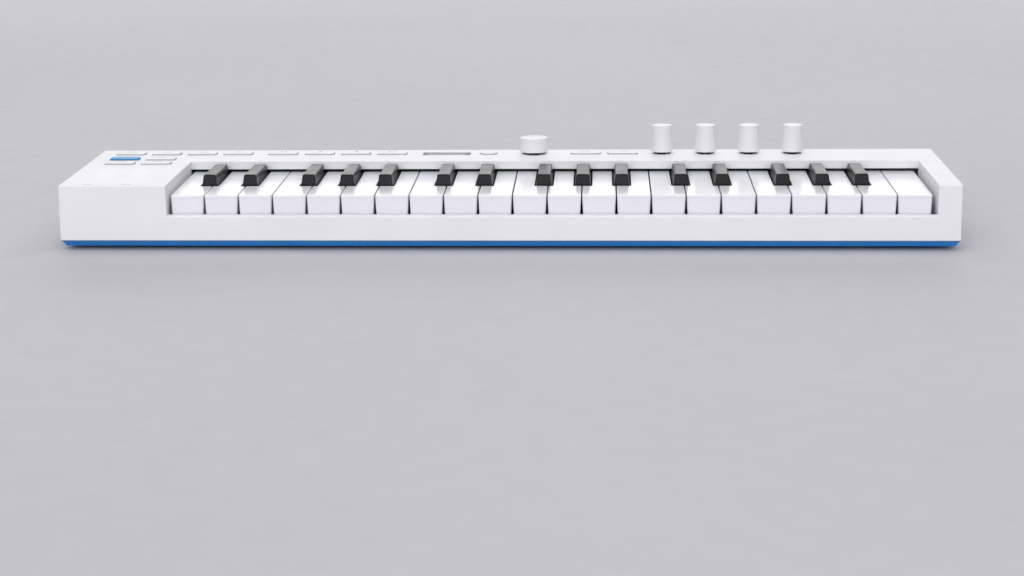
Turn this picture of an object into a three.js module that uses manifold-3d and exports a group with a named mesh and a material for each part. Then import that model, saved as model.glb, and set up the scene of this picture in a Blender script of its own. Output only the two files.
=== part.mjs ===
// A 37-key slim-key controller synthesizer: a white shell on a blue tray, a keybed with separate
// keys, two joined circuit boards with their sockets, four macro knobs, an encoder, buttons and a
// power switch. Millimetres, +X to the player's right, +Y to the rear, +Z up. The origin is under
// the middle of the body, at the bottom of the feet.

import * as THREE from 'three';
import { mergeVertices } from 'three/addons/utils/BufferGeometryUtils.js';
import Module from 'manifold-3d';

const wasm = await Module();
wasm.setup();

// Body
const BODY_WIDTH = 578;
const BODY_DEPTH = 146.5;
const FOOT_HEIGHT = 2.3;
const TRAY_TOP = 6;
const BODY_TOP = 42.4;
const WALL = 2.2;
const GAP = 0.3;
const SIDE_X = BODY_WIDTH / 2;
const REAR_Y = BODY_DEPTH / 2;
const PANEL_UNDERSIDE = BODY_TOP - WALL;
const SHELL_BOTTOM = TRAY_TOP + GAP;
const SHELL_EDGE = 0.8;
const SHELL_FOOT_EDGE = 0.5;
// How far a cutting shape reaches past the surface that it opens
const CUT = 1;
const FLUSH = 0.01;

// Key well, cut out of the shell's front
const WELL_LEFT = -218.7;
const WELL_RIGHT = 274;
const WELL_REAR = 24;
const WELL_REAR_WALL_BOTTOM = 36.9;
const WELL_WALL_BOTTOM = 12;
const LIP_TOP = 22.6;
const LIP_DEPTH = 5.9;
const LIP_EDGE = 1.1;
const OVERLAP = WALL / 2;

// Keys
const WHITE_COUNT = 22;
const WHITE_PITCH = 22.22;
const WHITE_GAP_TOP = 0.7;
const WHITE_GAP_BOTTOM = 1.9;
const KEYS_LEFT = -217.2;
const BLACK_CELLS = [0.9, 2.115, 3.875, 5.02, 6.165];
const WHITES_PER_OCTAVE = 7;
const OCTAVES = 3;
const KEY_FRONT = -66;
const KEY_REAR = 43.5;
const WHITE_TOP = 34.8;
const WHITE_BOTTOM = 20;
const WHITE_LIP_HEIGHT = 1.3;
const WHITE_LIP_OVERHANG = 0.4;
const KEY_TAIL_TOP = 30.6;
const KEY_TAIL_BOTTOM = 22;
const WHITE_SKIRT_REAR = -6;
const WHITE_TAIL_FRONT = 23.5;
const KEY_STEP_FRONT = WELL_REAR + 4;
const KEY_STEP_REAR = WELL_REAR + 9;
const WHITE_EDGE_DEPTH = 0.8;
const WHITE_EDGE_HEIGHT = 0.7;
const KEY_WALL = 1.6;
const KEY_SKIN = 1.8;
const BLACK_FRONT = -30.1;
const BLACK_TOP = 42;
const BLACK_TOP_WIDTH = 8.2;
const BLACK_WAIST_WIDTH = 9.2;
const BLACK_BASE_WIDTH = 10.6;
const BLACK_FLARE_HEIGHT = 1.8;
const BLACK_BOTTOM = 24;
const BLACK_REAR_TOP = 21.5;
const BLACK_REAR_EDGE = 1.5;
const BLACK_LEAN = 2;
const BLACK_FRONT_EDGE = 0.8;
const BLACK_SIDE_EDGE = 0.6;
const BLACK_SEAT = 0.2;
const SLOT_CLEARANCE = 0.7;
const SLOT_FRONT = -31.2;

// Fulcrum bar that every key clips over
const PIVOT_Y = 40;
const PIVOT_Z = 26.9;
const BAR_RADIUS = 1.6;
const BAR_SIDE_ROOM = 0.5;
const BAR_TOP_ROOM = 0.35;

// Panel controls
const CONTROL_Y = 56.3;
const BUTTON_LENGTH = 20;
const BUTTON_DEPTH = 9.5;
const BUTTON_TOP = 43.4;
const BUTTON_CORNER = 1;
const BUTTON_FLANGE_TOP = 39.4;
const BUTTON_FLANGE_BOTTOM = 38.4;
const BUTTON_FLANGE = 1;
const BUTTON_STEM_BOTTOM = 35.9;
const BUTTON_STEM_WIDTH = 3;
const ROUND_FLANGE_WIDTH = 14;
const SWITCH_WIDTH = 6;
const SWITCH_HEIGHT = 1.6;
const BUTTON_COLUMN_1 = -266.4;
const BUTTON_PITCH = 25.2;
const TRANSPORT_COLUMN_1 = -159;
const TRANSPORT_PITCH = 25.4;
const MODE_COLUMN_1 = 51.2;
const MODE_PITCH = 25.4;
const ROW_2_Y = 34;
const ROW_3_Y = 16;
const ROUND_BUTTON_X = -15.8;
const ROUND_BUTTON_RADIUS = 6.1;
const DISPLAY_X = -44.8;
const DISPLAY_WIDTH = 33;
const DISPLAY_DEPTH = 14.5;
const DISPLAY_CORNER = 0.8;
const ENCODER_X = 15.5;
const MACRO_X = 103.6;
const MACRO_PITCH = 29.65;
const MACRO_COUNT = 4;
const KNOB_BOTTOM = 43.9;
const MACRO_HOLE_RADIUS = 5.9;
const ENCODER_HOLE_RADIUS = 7.9;
const SHAFT_RADIUS = 3;
const SHAFT_BOTTOM = 35;
const POT_WIDTH = 9.8;
const ENCODER_WIDTH = 12;

// Touch strips, shallow pockets in the top
const STRIP_COLUMNS = [-267.9, -245];
const STRIP_WIDTH = 16;
const STRIP_FRONT = -61;
const STRIP_REAR = 0;
const STRIP_RECESS = 0.4;
const STRIP_CORNER = 2;

// Circuit boards
const BOARD_THICKNESS = 1.6;
const SINK = 0.8;
const MAIN_BOARD_TOP = 10.9;
const MAIN_BOARD_LEFT = -268;
const MAIN_BOARD_RIGHT = -42;
const MAIN_BOARD_FRONT = 48;
const BOARD_REAR = 69.5;
const PANEL_BOARD_TOP = 33;
const PANEL_BOARD_FRONT = 44.2;
const PANEL_BOARD_LEFT = -275;
const PANEL_BOARD_RIGHT = 215;
const WING_FRONT = 6;
const WING_RIGHT = -224;
const HEADER = [-218, -200, 49, 52];

// Sockets in the rear face
const SOCKET_FACE = REAR_Y - WALL - 0.4;
const MINI_JACKS = [-54.9, -66.5, -78.1, -89.7, -130, -141.8];
const MINI_JACK_Z = 16.7;
const MINI_JACK_RADIUS = 3.15;
const MINI_JACK_BORE = 1.8;
const PHONE_JACK_X = -107.7;
const PHONE_JACK_Z = 17.8;
const PHONE_JACK_RADIUS = 5.6;
const PHONE_JACK_BORE = 3.3;
const DIN_SOCKETS = [-167.5, -190.4];
const DIN_Z = 21.5;
const DIN_RADIUS = 9;
const DIN_GROOVE_OUTER = 7.4;
const DIN_GROOVE_INNER = 5.9;
const DIN_PIN_CIRCLE = 4;
const DIN_PIN_RADIUS = 0.9;
const DIN_PIN_COUNT = 5;
const RECESSED_FACE = REAR_Y - 0.4;
const USB_X = -224.4;
const USB_Z = 12.5;
const USB_WIDTH = 9.1;
const USB_HEIGHT = 3.1;
const USB_WALL = 0.35;
const POWER_SLOT_X = -255.15;
const POWER_Z = 13.65;
const POWER_TRAVEL = 2.4;
const POWER_SLOT_RADIUS = 3.05;
const SLIDER_RADIUS = 2.75;
const SLIDER_STEM = 2;
const SLIDER_STEM_FRONT = 62.4;
const SWITCH_BODY_Y = 62.5;
const LOCK_X = 266.8;
const LOCK_Z = 20.3;
const LOCK_WIDTH = 3.2;
const LOCK_HEIGHT = 7.6;

// Case screws and feet
const BOSS_PLACES = [
  [-280.5, -64.5],
  [-280.5, 64.5],
  [-228, -64.5],
  [280.5, -64.5],
  [280.5, 64.5],
  [240, 64.5],
];
const CASE_BOSS_RADIUS = 3.2;
const CASE_BOSS_BOTTOM = TRAY_TOP + 2.5;
const SCREW_RADIUS = 1.3;
const SCREW_TOP = PANEL_UNDERSIDE - 12;
const TRAY_BOSS_RADIUS = 4.2;
const TRAY_BOSS_TOP = TRAY_TOP + 2.2;
const SCREW_HOLE_RADIUS = 1.6;
const SCREW_HEAD_RADIUS = 2.9;
const TRAY_FLOOR = 2.4;
const TRAY_RIM = 1;
const TRAY_SLOPE_RUN = 2.7;
const SCREW_SEAT = 0.8;
const FOOT_X = 262;
const FOOT_Y = 50;
const FOOT_RADIUS = 6;

// Keybed frame, under the keys
const KEYBED_BOTTOM = 8.3;
const KEYBED_FLOOR_TOP = 9.9;
const KEYBED_FRONT = -58.5;
const KEYBED_REAR = 46;
const KEYBED_SIDE = 1;
const KEYBED_WALL = 1.6;
const KEYBED_WALL_TOP = 20;
const KEYBED_RIB_FRONT = -52;
const KEYBED_RIB_TOP = 11.9;
const GUIDE_POST = [5, 3];
const GUIDE_POST_Y = -56.5;
const GUIDE_POST_TOP = 25;
const BAR_POST = [3, 2];
const PAD_WIDTH = 8;
const PAD_COLUMNS = [-200, -80, 40, 150, 255];
const PAD_ROWS = [-45, 30];

// Sides of the round pieces
const FINE_SIDES = 20;
const MEDIUM_SIDES = 16;
const COARSE_SIDES = 12;
const SMALL_SIDES = 8;
const PIN_SIDES = 4;

const material = (red, green, blue, roughness, metalness = 0) =>
  new THREE.MeshStandardMaterial({ color: new THREE.Color(red, green, blue), roughness, metalness });

const WHITE_SHELL = material(0.91, 0.91, 0.93, 0.5);
const BLUE_SHELL = material(0.03, 0.16, 0.44, 0.45);
const WHITE_KEY = material(0.94, 0.94, 0.96, 0.22);
const BLACK_KEY = material(0.035, 0.037, 0.04, 0.35);
const WHITE_KNOB = material(0.9, 0.9, 0.92, 0.42);
const WHITE_BUTTON = material(0.9, 0.9, 0.92, 0.55);
const BLUE_BUTTON = material(0.06, 0.3, 0.62, 0.5);
const GREY_FRAME = material(0.3, 0.31, 0.33, 0.6);
const GREEN_BOARD = material(0.03, 0.2, 0.1, 0.5);

// ---- Solids from three.js geometry ----

function solid(geometry) {
  geometry.deleteAttribute('normal');
  geometry.deleteAttribute('uv');
  const merged = mergeVertices(geometry, 1e-4);
  return new wasm.Manifold(new wasm.Mesh({
    numProp: 3,
    vertProperties: new Float32Array(merged.attributes.position.array),
    triVerts: new Uint32Array(merged.index.array),
  }));
}

function geometryOf(shape) {
  const mesh = shape.getMesh();
  const geometry = new THREE.BufferGeometry();
  geometry.setAttribute('position', new THREE.BufferAttribute(new Float32Array(mesh.vertProperties), 3));
  geometry.setIndex(new THREE.BufferAttribute(new Uint32Array(mesh.triVerts), 1));
  geometry.computeVertexNormals();
  return geometry;
}

function box(x0, x1, y0, y1, z0, z1) {
  const geometry = new THREE.BoxGeometry(x1 - x0, y1 - y0, z1 - z0);
  geometry.translate((x0 + x1) / 2, (y0 + y1) / 2, (z0 + z1) / 2);
  return solid(geometry);
}

function centredBox(x, y, width, depth, z0, z1) {
  return box(x - width / 2, x + width / 2, y - depth / 2, y + depth / 2, z0, z1);
}

function extrude(outline, length) {
  return new THREE.ExtrudeGeometry(outline, { depth: length, bevelEnabled: false, curveSegments: 1 });
}

function outlineOf(points) {
  return new THREE.Shape(points.map(([u, v]) => new THREE.Vector2(u, v)));
}

// An outline in X and Y, from z0 up to z1.
function prismZ(outline, z0, z1) {
  const geometry = extrude(outline, z1 - z0);
  geometry.translate(0, 0, z0);
  return solid(geometry);
}

// An outline in Y and Z, from x0 to x1.
function prismX(points, x0, x1) {
  const geometry = extrude(outlineOf(points), x1 - x0);
  const axes = new THREE.Matrix4().makeBasis(
    new THREE.Vector3(0, 1, 0),
    new THREE.Vector3(0, 0, 1),
    new THREE.Vector3(1, 0, 0),
  );
  geometry.applyMatrix4(axes);
  geometry.translate(x0, 0, 0);
  return solid(geometry);
}

// An outline in X and Z, from y0 to y1.
function prismY(outline, y0, y1) {
  const geometry = extrude(outline, y1 - y0);
  geometry.rotateX(Math.PI / 2);
  geometry.translate(0, y1, 0);
  return solid(geometry);
}

function cylinderZ(x, y, radius, z0, z1, sides) {
  const geometry = new THREE.CylinderGeometry(radius, radius, z1 - z0, sides);
  geometry.rotateX(Math.PI / 2);
  geometry.translate(x, y, (z0 + z1) / 2);
  return solid(geometry);
}

function cylinderY(x, z, radius, y0, y1, sides) {
  const geometry = new THREE.CylinderGeometry(radius, radius, y1 - y0, sides);
  geometry.translate(x, (y0 + y1) / 2, z);
  return solid(geometry);
}

function cylinderX(y, z, radius, x0, x1, sides) {
  const geometry = new THREE.CylinderGeometry(radius, radius, x1 - x0, sides);
  geometry.rotateZ(Math.PI / 2);
  geometry.translate((x0 + x1) / 2, y, z);
  return solid(geometry);
}

// A turned part about Z: the profile runs from the axis at the bottom to the axis at the top.
function turned(profile, sides) {
  const geometry = new THREE.LatheGeometry(profile.map(([r, z]) => new THREE.Vector2(r, z)), sides);
  geometry.rotateX(Math.PI / 2);
  return solid(geometry);
}

function roundedRectangle(u, v, width, height, radius) {
  const left = u - width / 2;
  const right = u + width / 2;
  const low = v - height / 2;
  const high = v + height / 2;
  const shape = new THREE.Shape();
  shape.moveTo(left + radius, low);
  shape.lineTo(right - radius, low);
  shape.absarc(right - radius, low + radius, radius, -Math.PI / 2, 0, false);
  shape.lineTo(right, high - radius);
  shape.absarc(right - radius, high - radius, radius, 0, Math.PI / 2, false);
  shape.lineTo(left + radius, high);
  shape.absarc(left + radius, high - radius, radius, Math.PI / 2, Math.PI, false);
  shape.lineTo(left, low + radius);
  shape.absarc(left + radius, low + radius, radius, Math.PI, Math.PI * 1.5, false);
  return shape;
}

// A slot with round ends, as an outline of its own: the radius takes the whole height.
function slotOutline(u, v, width, height, arcSteps = 6) {
  const radius = height / 2;
  const reach = width / 2 - radius;
  const points = [];
  for (const [side, start] of [[1, -Math.PI / 2], [-1, Math.PI / 2]]) {
    for (let step = 0; step <= arcSteps; step += 1) {
      const angle = start + (Math.PI * step) / arcSteps;
      points.push([u + side * reach + radius * Math.cos(angle), v + radius * Math.sin(angle)]);
    }
  }
  return outlineOf(points);
}

const joined = (shapes) => shapes.reduce((whole, shape) => whole.add(shape));
const cut = (shape, cutters) => cutters.reduce((left, cutter) => left.subtract(cutter), shape);

// ---- Control places ----

const functionColumns = [0, 1, 2, 3].map((i) => BUTTON_COLUMN_1 + BUTTON_PITCH * i);
const transportColumns = [0, 1, 2, 3].map((i) => TRANSPORT_COLUMN_1 + TRANSPORT_PITCH * i);
const modeColumns = [0, 1].map((i) => MODE_COLUMN_1 + MODE_PITCH * i);
const macroColumns = Array.from({ length: MACRO_COUNT }, (_, i) => MACRO_X + MACRO_PITCH * i);
const topRow = [
  ...functionColumns.map((x, i) => ({ name: `function_button_${i + 1}`, x })),
  ...transportColumns.map((x, i) => ({ name: `transport_button_${i + 1}`, x })),
  ...modeColumns.map((x, i) => ({ name: `mode_button_${i + 1}`, x })),
];
const SHIFT_PLACE = [BUTTON_COLUMN_1, ROW_2_Y];
const clusterPlaces = [
  [BUTTON_COLUMN_1 + BUTTON_PITCH, ROW_2_Y],
  [BUTTON_COLUMN_1, ROW_3_Y],
  [BUTTON_COLUMN_1 + BUTTON_PITCH, ROW_3_Y],
];
const buttonPlaces = [...topRow.map(({ x }) => [x, CONTROL_Y]), SHIFT_PLACE, ...clusterPlaces];

// ---- White upper shell ----

function topCase() {
  const section = (reach) => [
    [-reach + SHELL_FOOT_EDGE, SHELL_BOTTOM],
    [reach - SHELL_FOOT_EDGE, SHELL_BOTTOM],
    [reach, SHELL_BOTTOM + SHELL_FOOT_EDGE],
    [reach, BODY_TOP - SHELL_EDGE],
    [reach - SHELL_EDGE, BODY_TOP],
    [-reach + SHELL_EDGE, BODY_TOP],
    [-reach, BODY_TOP - SHELL_EDGE],
    [-reach, SHELL_BOTTOM + SHELL_FOOT_EDGE],
  ];
  const outer = prismX(section(REAR_Y), -SIDE_X, SIDE_X).intersect(
    prismY(outlineOf(section(SIDE_X)), -REAR_Y, REAR_Y),
  );
  const inside = box(
    -SIDE_X + WALL, SIDE_X - WALL, -REAR_Y + WALL, REAR_Y - WALL, SHELL_BOTTOM - CUT, PANEL_UNDERSIDE,
  );
  const well = box(WELL_LEFT, WELL_RIGHT, -REAR_Y - CUT, WELL_REAR, LIP_TOP, BODY_TOP + CUT);
  const shell = joined([cut(outer, [inside, well]), ...wellWalls(), ...caseBosses()]);
  return cut(shell, [...panelHoles(), ...rearHoles()]);
}

// The walls that hang from the panel round the keys, and the lip in front of them.
function wellWalls() {
  const lipInner = -REAR_Y + LIP_DEPTH;
  const lip = [
    [-REAR_Y, LIP_TOP - LIP_EDGE - 2 * WALL],
    [-REAR_Y + WALL, LIP_TOP - WALL],
    [lipInner - WALL, LIP_TOP - WALL],
    [lipInner - WALL, WELL_WALL_BOTTOM],
    [lipInner, WELL_WALL_BOTTOM],
    [lipInner, LIP_TOP],
    [-REAR_Y + LIP_EDGE, LIP_TOP],
    [-REAR_Y, LIP_TOP - LIP_EDGE],
  ];
  const edgeCut = [
    [-REAR_Y - CUT, LIP_TOP - LIP_EDGE - CUT],
    [-REAR_Y + LIP_EDGE + CUT, LIP_TOP + CUT],
    [-REAR_Y - CUT, LIP_TOP + CUT],
  ];
  const front = -REAR_Y + OVERLAP;
  const sideTop = BODY_TOP - OVERLAP;
  return [
    prismX(lip, WELL_LEFT - OVERLAP, WELL_RIGHT + OVERLAP).subtract(
      prismX(edgeCut, WELL_LEFT, WELL_RIGHT),
    ),
    box(WELL_LEFT - WALL, WELL_LEFT, front, WELL_REAR + WALL, WELL_WALL_BOTTOM, sideTop),
    box(WELL_RIGHT, WELL_RIGHT + WALL, front, WELL_REAR + WALL, WELL_WALL_BOTTOM, sideTop),
    box(WELL_LEFT - WALL, WELL_RIGHT + WALL, WELL_REAR, WELL_REAR + WALL, WELL_REAR_WALL_BOTTOM, sideTop),
  ];
}

// Screw bosses that hang from the panel down to the tray's own bosses.
function caseBosses() {
  return BOSS_PLACES.map(([x, y]) =>
    cylinderZ(x, y, CASE_BOSS_RADIUS, CASE_BOSS_BOTTOM, BODY_TOP - OVERLAP, SMALL_SIDES).subtract(
      cylinderZ(x, y, SCREW_RADIUS, CASE_BOSS_BOTTOM - CUT, SCREW_TOP, SMALL_SIDES),
    ));
}

function panelHoles() {
  const low = PANEL_UNDERSIDE - CUT;
  const high = BODY_TOP + CUT;
  const buttonHole = ([x, y]) => prismZ(
    roundedRectangle(x, y, BUTTON_LENGTH + 2 * GAP, BUTTON_DEPTH + 2 * GAP, BUTTON_CORNER + GAP), low, high,
  );
  const knobHole = (x, radius) => cylinderZ(x, CONTROL_Y, radius, low, high, MEDIUM_SIDES);
  const strip = (x) => prismZ(
    roundedRectangle(
      x, (STRIP_FRONT + STRIP_REAR) / 2, STRIP_WIDTH, STRIP_REAR - STRIP_FRONT, STRIP_CORNER,
    ),
    BODY_TOP - STRIP_RECESS,
    high,
  );
  return [
    ...buttonPlaces.map(buttonHole),
    ...macroColumns.map((x) => knobHole(x, MACRO_HOLE_RADIUS)),
    knobHole(ENCODER_X, ENCODER_HOLE_RADIUS),
    cylinderZ(ROUND_BUTTON_X, CONTROL_Y, ROUND_BUTTON_RADIUS + GAP, low, high, FINE_SIDES),
    prismZ(
      roundedRectangle(DISPLAY_X, CONTROL_Y, DISPLAY_WIDTH, DISPLAY_DEPTH, DISPLAY_CORNER), low, high,
    ),
    ...STRIP_COLUMNS.map(strip),
  ];
}

function rearHoles() {
  const low = REAR_Y - WALL - CUT;
  const high = REAR_Y + CUT;
  return [
    ...MINI_JACKS.map((x) => cylinderY(x, MINI_JACK_Z, MINI_JACK_RADIUS + GAP, low, high, COARSE_SIDES)),
    cylinderY(PHONE_JACK_X, PHONE_JACK_Z, PHONE_JACK_RADIUS + GAP, low, high, MEDIUM_SIDES),
    ...DIN_SOCKETS.map((x) => cylinderY(x, DIN_Z, DIN_RADIUS + GAP, low, high, FINE_SIDES)),
    prismY(slotOutline(USB_X, USB_Z, USB_WIDTH + 2 * GAP, USB_HEIGHT + 2 * GAP), low, high),
    prismY(
      slotOutline(POWER_SLOT_X, POWER_Z, POWER_TRAVEL + 2 * POWER_SLOT_RADIUS, 2 * POWER_SLOT_RADIUS),
      low,
      high,
    ),
    box(
      LOCK_X - LOCK_WIDTH / 2, LOCK_X + LOCK_WIDTH / 2, low, high,
      LOCK_Z - LOCK_HEIGHT / 2, LOCK_Z + LOCK_HEIGHT / 2,
    ),
  ];
}

// ---- Blue tray ----

function bottomCase() {
  const flared = (reach) => [
    [-reach + TRAY_SLOPE_RUN, FOOT_HEIGHT],
    [reach - TRAY_SLOPE_RUN, FOOT_HEIGHT],
    [reach, TRAY_TOP],
    [-reach, TRAY_TOP],
  ];
  const reachX = SIDE_X - SHELL_FOOT_EDGE;
  const reachY = REAR_Y - SHELL_FOOT_EDGE;
  const outer = prismX(flared(reachY), -reachX, reachX).intersect(
    prismY(outlineOf(flared(reachX)), -reachY, reachY),
  );
  const floorTop = FOOT_HEIGHT + TRAY_FLOOR;
  const hollowX = reachX - TRAY_SLOPE_RUN - TRAY_RIM;
  const hollowY = reachY - TRAY_SLOPE_RUN - TRAY_RIM;
  const hollow = box(-hollowX, hollowX, -hollowY, hollowY, floorTop, TRAY_TOP + CUT);
  const tray = [cut(outer, [hollow]), ...trayBosses(floorTop), ...feet(), ...keybedPads(floorTop)];
  const screwHoles = BOSS_PLACES.flatMap(([x, y]) => [
    cylinderZ(x, y, SCREW_HOLE_RADIUS, 0, TRAY_BOSS_TOP + CUT, SMALL_SIDES),
    cylinderZ(x, y, SCREW_HEAD_RADIUS, 0, floorTop + SCREW_SEAT, SMALL_SIDES),
  ]);
  return cut(joined(tray), screwHoles);
}

function trayBosses(floorTop) {
  return BOSS_PLACES.map(([x, y]) =>
    cylinderZ(x, y, TRAY_BOSS_RADIUS, floorTop - CUT, TRAY_BOSS_TOP, SMALL_SIDES));
}

function feet() {
  const places = [-FOOT_X, FOOT_X].flatMap((x) => [-FOOT_Y, FOOT_Y].map((y) => [x, y]));
  return places.map(([x, y]) => cylinderZ(x, y, FOOT_RADIUS, 0, FOOT_HEIGHT + CUT, COARSE_SIDES));
}

// Pads that carry the keybed frame.
function keybedPads(floorTop) {
  const places = PAD_COLUMNS.flatMap((x) => PAD_ROWS.map((y) => [x, y]));
  return places.map(([x, y]) =>
    centredBox(x, y, PAD_WIDTH, PAD_WIDTH, floorTop - CUT, KEYBED_BOTTOM - GAP));
}

// ---- Keys ----

const slotHalf = BLACK_BASE_WIDTH / 2 + SLOT_CLEARANCE;
const blackCentres = Array.from({ length: OCTAVES }, (_, octave) =>
  BLACK_CELLS.map((cell) => (octave * WHITES_PER_OCTAVE + cell) * WHITE_PITCH)).flat();

// The opening under a key that lets its side walls straddle the fulcrum bar.
function barNotch(x0, x1) {
  const reach = BAR_RADIUS + BAR_SIDE_ROOM;
  const roof = BAR_RADIUS + BAR_TOP_ROOM;
  return prismX([
    [PIVOT_Y - reach, KEY_TAIL_BOTTOM - CUT],
    [PIVOT_Y + reach, KEY_TAIL_BOTTOM - CUT],
    [PIVOT_Y + reach, PIVOT_Z],
    [PIVOT_Y + reach / 2, PIVOT_Z + roof],
    [PIVOT_Y - reach / 2, PIVOT_Z + roof],
    [PIVOT_Y - reach, PIVOT_Z],
  ], x0, x1);
}

// One white key, with x measured from the left edge of its cell.
function whiteKey(index) {
  const start = index * WHITE_PITCH;
  const face = KEY_FRONT + WHITE_LIP_OVERHANG;
  const side = [
    [face, WHITE_BOTTOM],
    [WHITE_SKIRT_REAR, WHITE_BOTTOM],
    [WHITE_TAIL_FRONT, KEY_TAIL_BOTTOM],
    [KEY_REAR, KEY_TAIL_BOTTOM],
    [KEY_REAR, KEY_TAIL_TOP],
    [KEY_STEP_REAR, KEY_TAIL_TOP],
    [KEY_STEP_FRONT, WHITE_TOP],
    [KEY_FRONT + WHITE_EDGE_DEPTH, WHITE_TOP],
    [KEY_FRONT, WHITE_TOP - WHITE_EDGE_HEIGHT],
    [KEY_FRONT, WHITE_TOP - WHITE_LIP_HEIGHT],
    [face, WHITE_TOP - WHITE_LIP_HEIGHT],
  ];
  const section = [
    [WHITE_GAP_BOTTOM / 2, WHITE_BOTTOM - CUT],
    [WHITE_PITCH - WHITE_GAP_BOTTOM / 2, WHITE_BOTTOM - CUT],
    [WHITE_PITCH - WHITE_GAP_TOP / 2, WHITE_TOP - WHITE_LIP_HEIGHT],
    [WHITE_PITCH - WHITE_GAP_TOP / 2, WHITE_TOP + CUT],
    [WHITE_GAP_TOP / 2, WHITE_TOP + CUT],
    [WHITE_GAP_TOP / 2, WHITE_TOP - WHITE_LIP_HEIGHT],
  ];
  const hollowSide = [
    [face + KEY_SKIN, WHITE_BOTTOM - CUT],
    [KEY_REAR - KEY_WALL, WHITE_BOTTOM - CUT],
    [KEY_REAR - KEY_WALL, KEY_TAIL_TOP - KEY_WALL],
    [KEY_STEP_REAR - KEY_SKIN, KEY_TAIL_TOP - KEY_WALL],
    [KEY_STEP_FRONT - KEY_SKIN, WHITE_TOP - KEY_SKIN],
    [face + KEY_SKIN, WHITE_TOP - KEY_SKIN],
  ];
  const inset = WHITE_GAP_BOTTOM / 2 + KEY_WALL;
  const slot = (half) => blackCentres
    .map((centre) => centre - start)
    .filter((centre) => centre > -slotHalf && centre < WHITE_PITCH + slotHalf)
    .map((centre) => box(
      centre - half, centre + half, SLOT_FRONT - (half - slotHalf), KEY_REAR + CUT, 0, WHITE_TOP + CUT,
    ));
  const blank = prismX(side, 0, WHITE_PITCH).intersect(
    prismY(outlineOf(section), KEY_FRONT - CUT, KEY_REAR + CUT),
  );
  const outer = cut(blank, slot(slotHalf));
  const hollow = cut(prismX(hollowSide, inset, WHITE_PITCH - inset), slot(slotHalf + KEY_WALL));
  return cut(outer, [hollow, barNotch(-CUT, WHITE_PITCH + CUT)]);
}

// One black key, with x measured from its centre line.
function blackKey() {
  const base = BLACK_BASE_WIDTH / 2;
  const waist = BLACK_WAIST_WIDTH / 2;
  const top = BLACK_TOP_WIDTH / 2;
  const seat = WHITE_TOP - BLACK_SEAT;
  const side = [
    [BLACK_FRONT, BLACK_BOTTOM],
    [KEY_REAR, BLACK_BOTTOM],
    [KEY_REAR, KEY_TAIL_TOP],
    [KEY_STEP_REAR, KEY_TAIL_TOP],
    [KEY_STEP_FRONT, seat],
    [BLACK_REAR_TOP + BLACK_FRONT_EDGE, seat],
    [BLACK_REAR_TOP, BLACK_TOP - BLACK_REAR_EDGE - BLACK_FRONT_EDGE],
    [BLACK_REAR_TOP - BLACK_REAR_EDGE, BLACK_TOP - BLACK_FRONT_EDGE],
    [BLACK_FRONT + BLACK_LEAN + BLACK_FRONT_EDGE, BLACK_TOP],
    [BLACK_FRONT + BLACK_LEAN, BLACK_TOP - BLACK_FRONT_EDGE],
    [BLACK_FRONT + base - waist, WHITE_TOP + BLACK_FLARE_HEIGHT],
    [BLACK_FRONT, WHITE_TOP],
  ];
  const section = [
    [-base, BLACK_BOTTOM],
    [base, BLACK_BOTTOM],
    [base, WHITE_TOP],
    [waist, WHITE_TOP + BLACK_FLARE_HEIGHT],
    [top, BLACK_TOP - BLACK_SIDE_EDGE],
    [top - BLACK_SIDE_EDGE, BLACK_TOP + FLUSH],
    [BLACK_SIDE_EDGE - top, BLACK_TOP + FLUSH],
    [-top, BLACK_TOP - BLACK_SIDE_EDGE],
    [-waist, WHITE_TOP + BLACK_FLARE_HEIGHT],
    [-base, WHITE_TOP],
  ];
  const outer = prismX(side, -base - CUT, base + CUT).intersect(
    prismY(outlineOf(section), BLACK_FRONT - CUT, KEY_REAR + CUT),
  );
  const hollowHalf = base - KEY_WALL;
  const hollow = [
    box(
      -hollowHalf, hollowHalf, BLACK_FRONT + KEY_SKIN, WELL_REAR, BLACK_BOTTOM - CUT, WHITE_TOP - KEY_SKIN,
    ),
    box(
      -hollowHalf, hollowHalf, WELL_REAR - CUT, KEY_REAR - KEY_WALL,
      BLACK_BOTTOM - CUT, KEY_TAIL_TOP - KEY_WALL,
    ),
  ];
  return cut(outer, [...hollow, barNotch(-base - CUT, base + CUT)]);
}

// ---- Keybed frame ----

function keybedFrame() {
  const left = KEYS_LEFT + KEYBED_SIDE;
  const right = KEYS_LEFT + WHITE_COUNT * WHITE_PITCH - KEYBED_SIDE;
  const floor = box(left, right, KEYBED_FRONT, KEYBED_REAR, KEYBED_BOTTOM, KEYBED_FLOOR_TOP);
  const rearWall = box(left, right, KEYBED_REAR - KEYBED_WALL, KEYBED_REAR, KEYBED_BOTTOM, KEYBED_WALL_TOP);
  const frontRib = box(
    left, right, KEYBED_RIB_FRONT, KEYBED_RIB_FRONT + KEYBED_WALL, KEYBED_BOTTOM, KEYBED_RIB_TOP,
  );
  const bar = cylinderX(PIVOT_Y, PIVOT_Z, BAR_RADIUS, left, right, SMALL_SIDES);
  const root = (KEYBED_BOTTOM + KEYBED_FLOOR_TOP) / 2;
  const perKey = Array.from({ length: WHITE_COUNT }, (_, index) => [
    centredBox(KEYS_LEFT + (index + 0.5) * WHITE_PITCH, GUIDE_POST_Y, ...GUIDE_POST, root, GUIDE_POST_TOP),
    centredBox(KEYS_LEFT + tailCentre(index), PIVOT_Y, ...BAR_POST, root, PIVOT_Z),
  ]).flat();
  return joined([floor, rearWall, frontRib, bar, ...perKey]);
}

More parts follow.
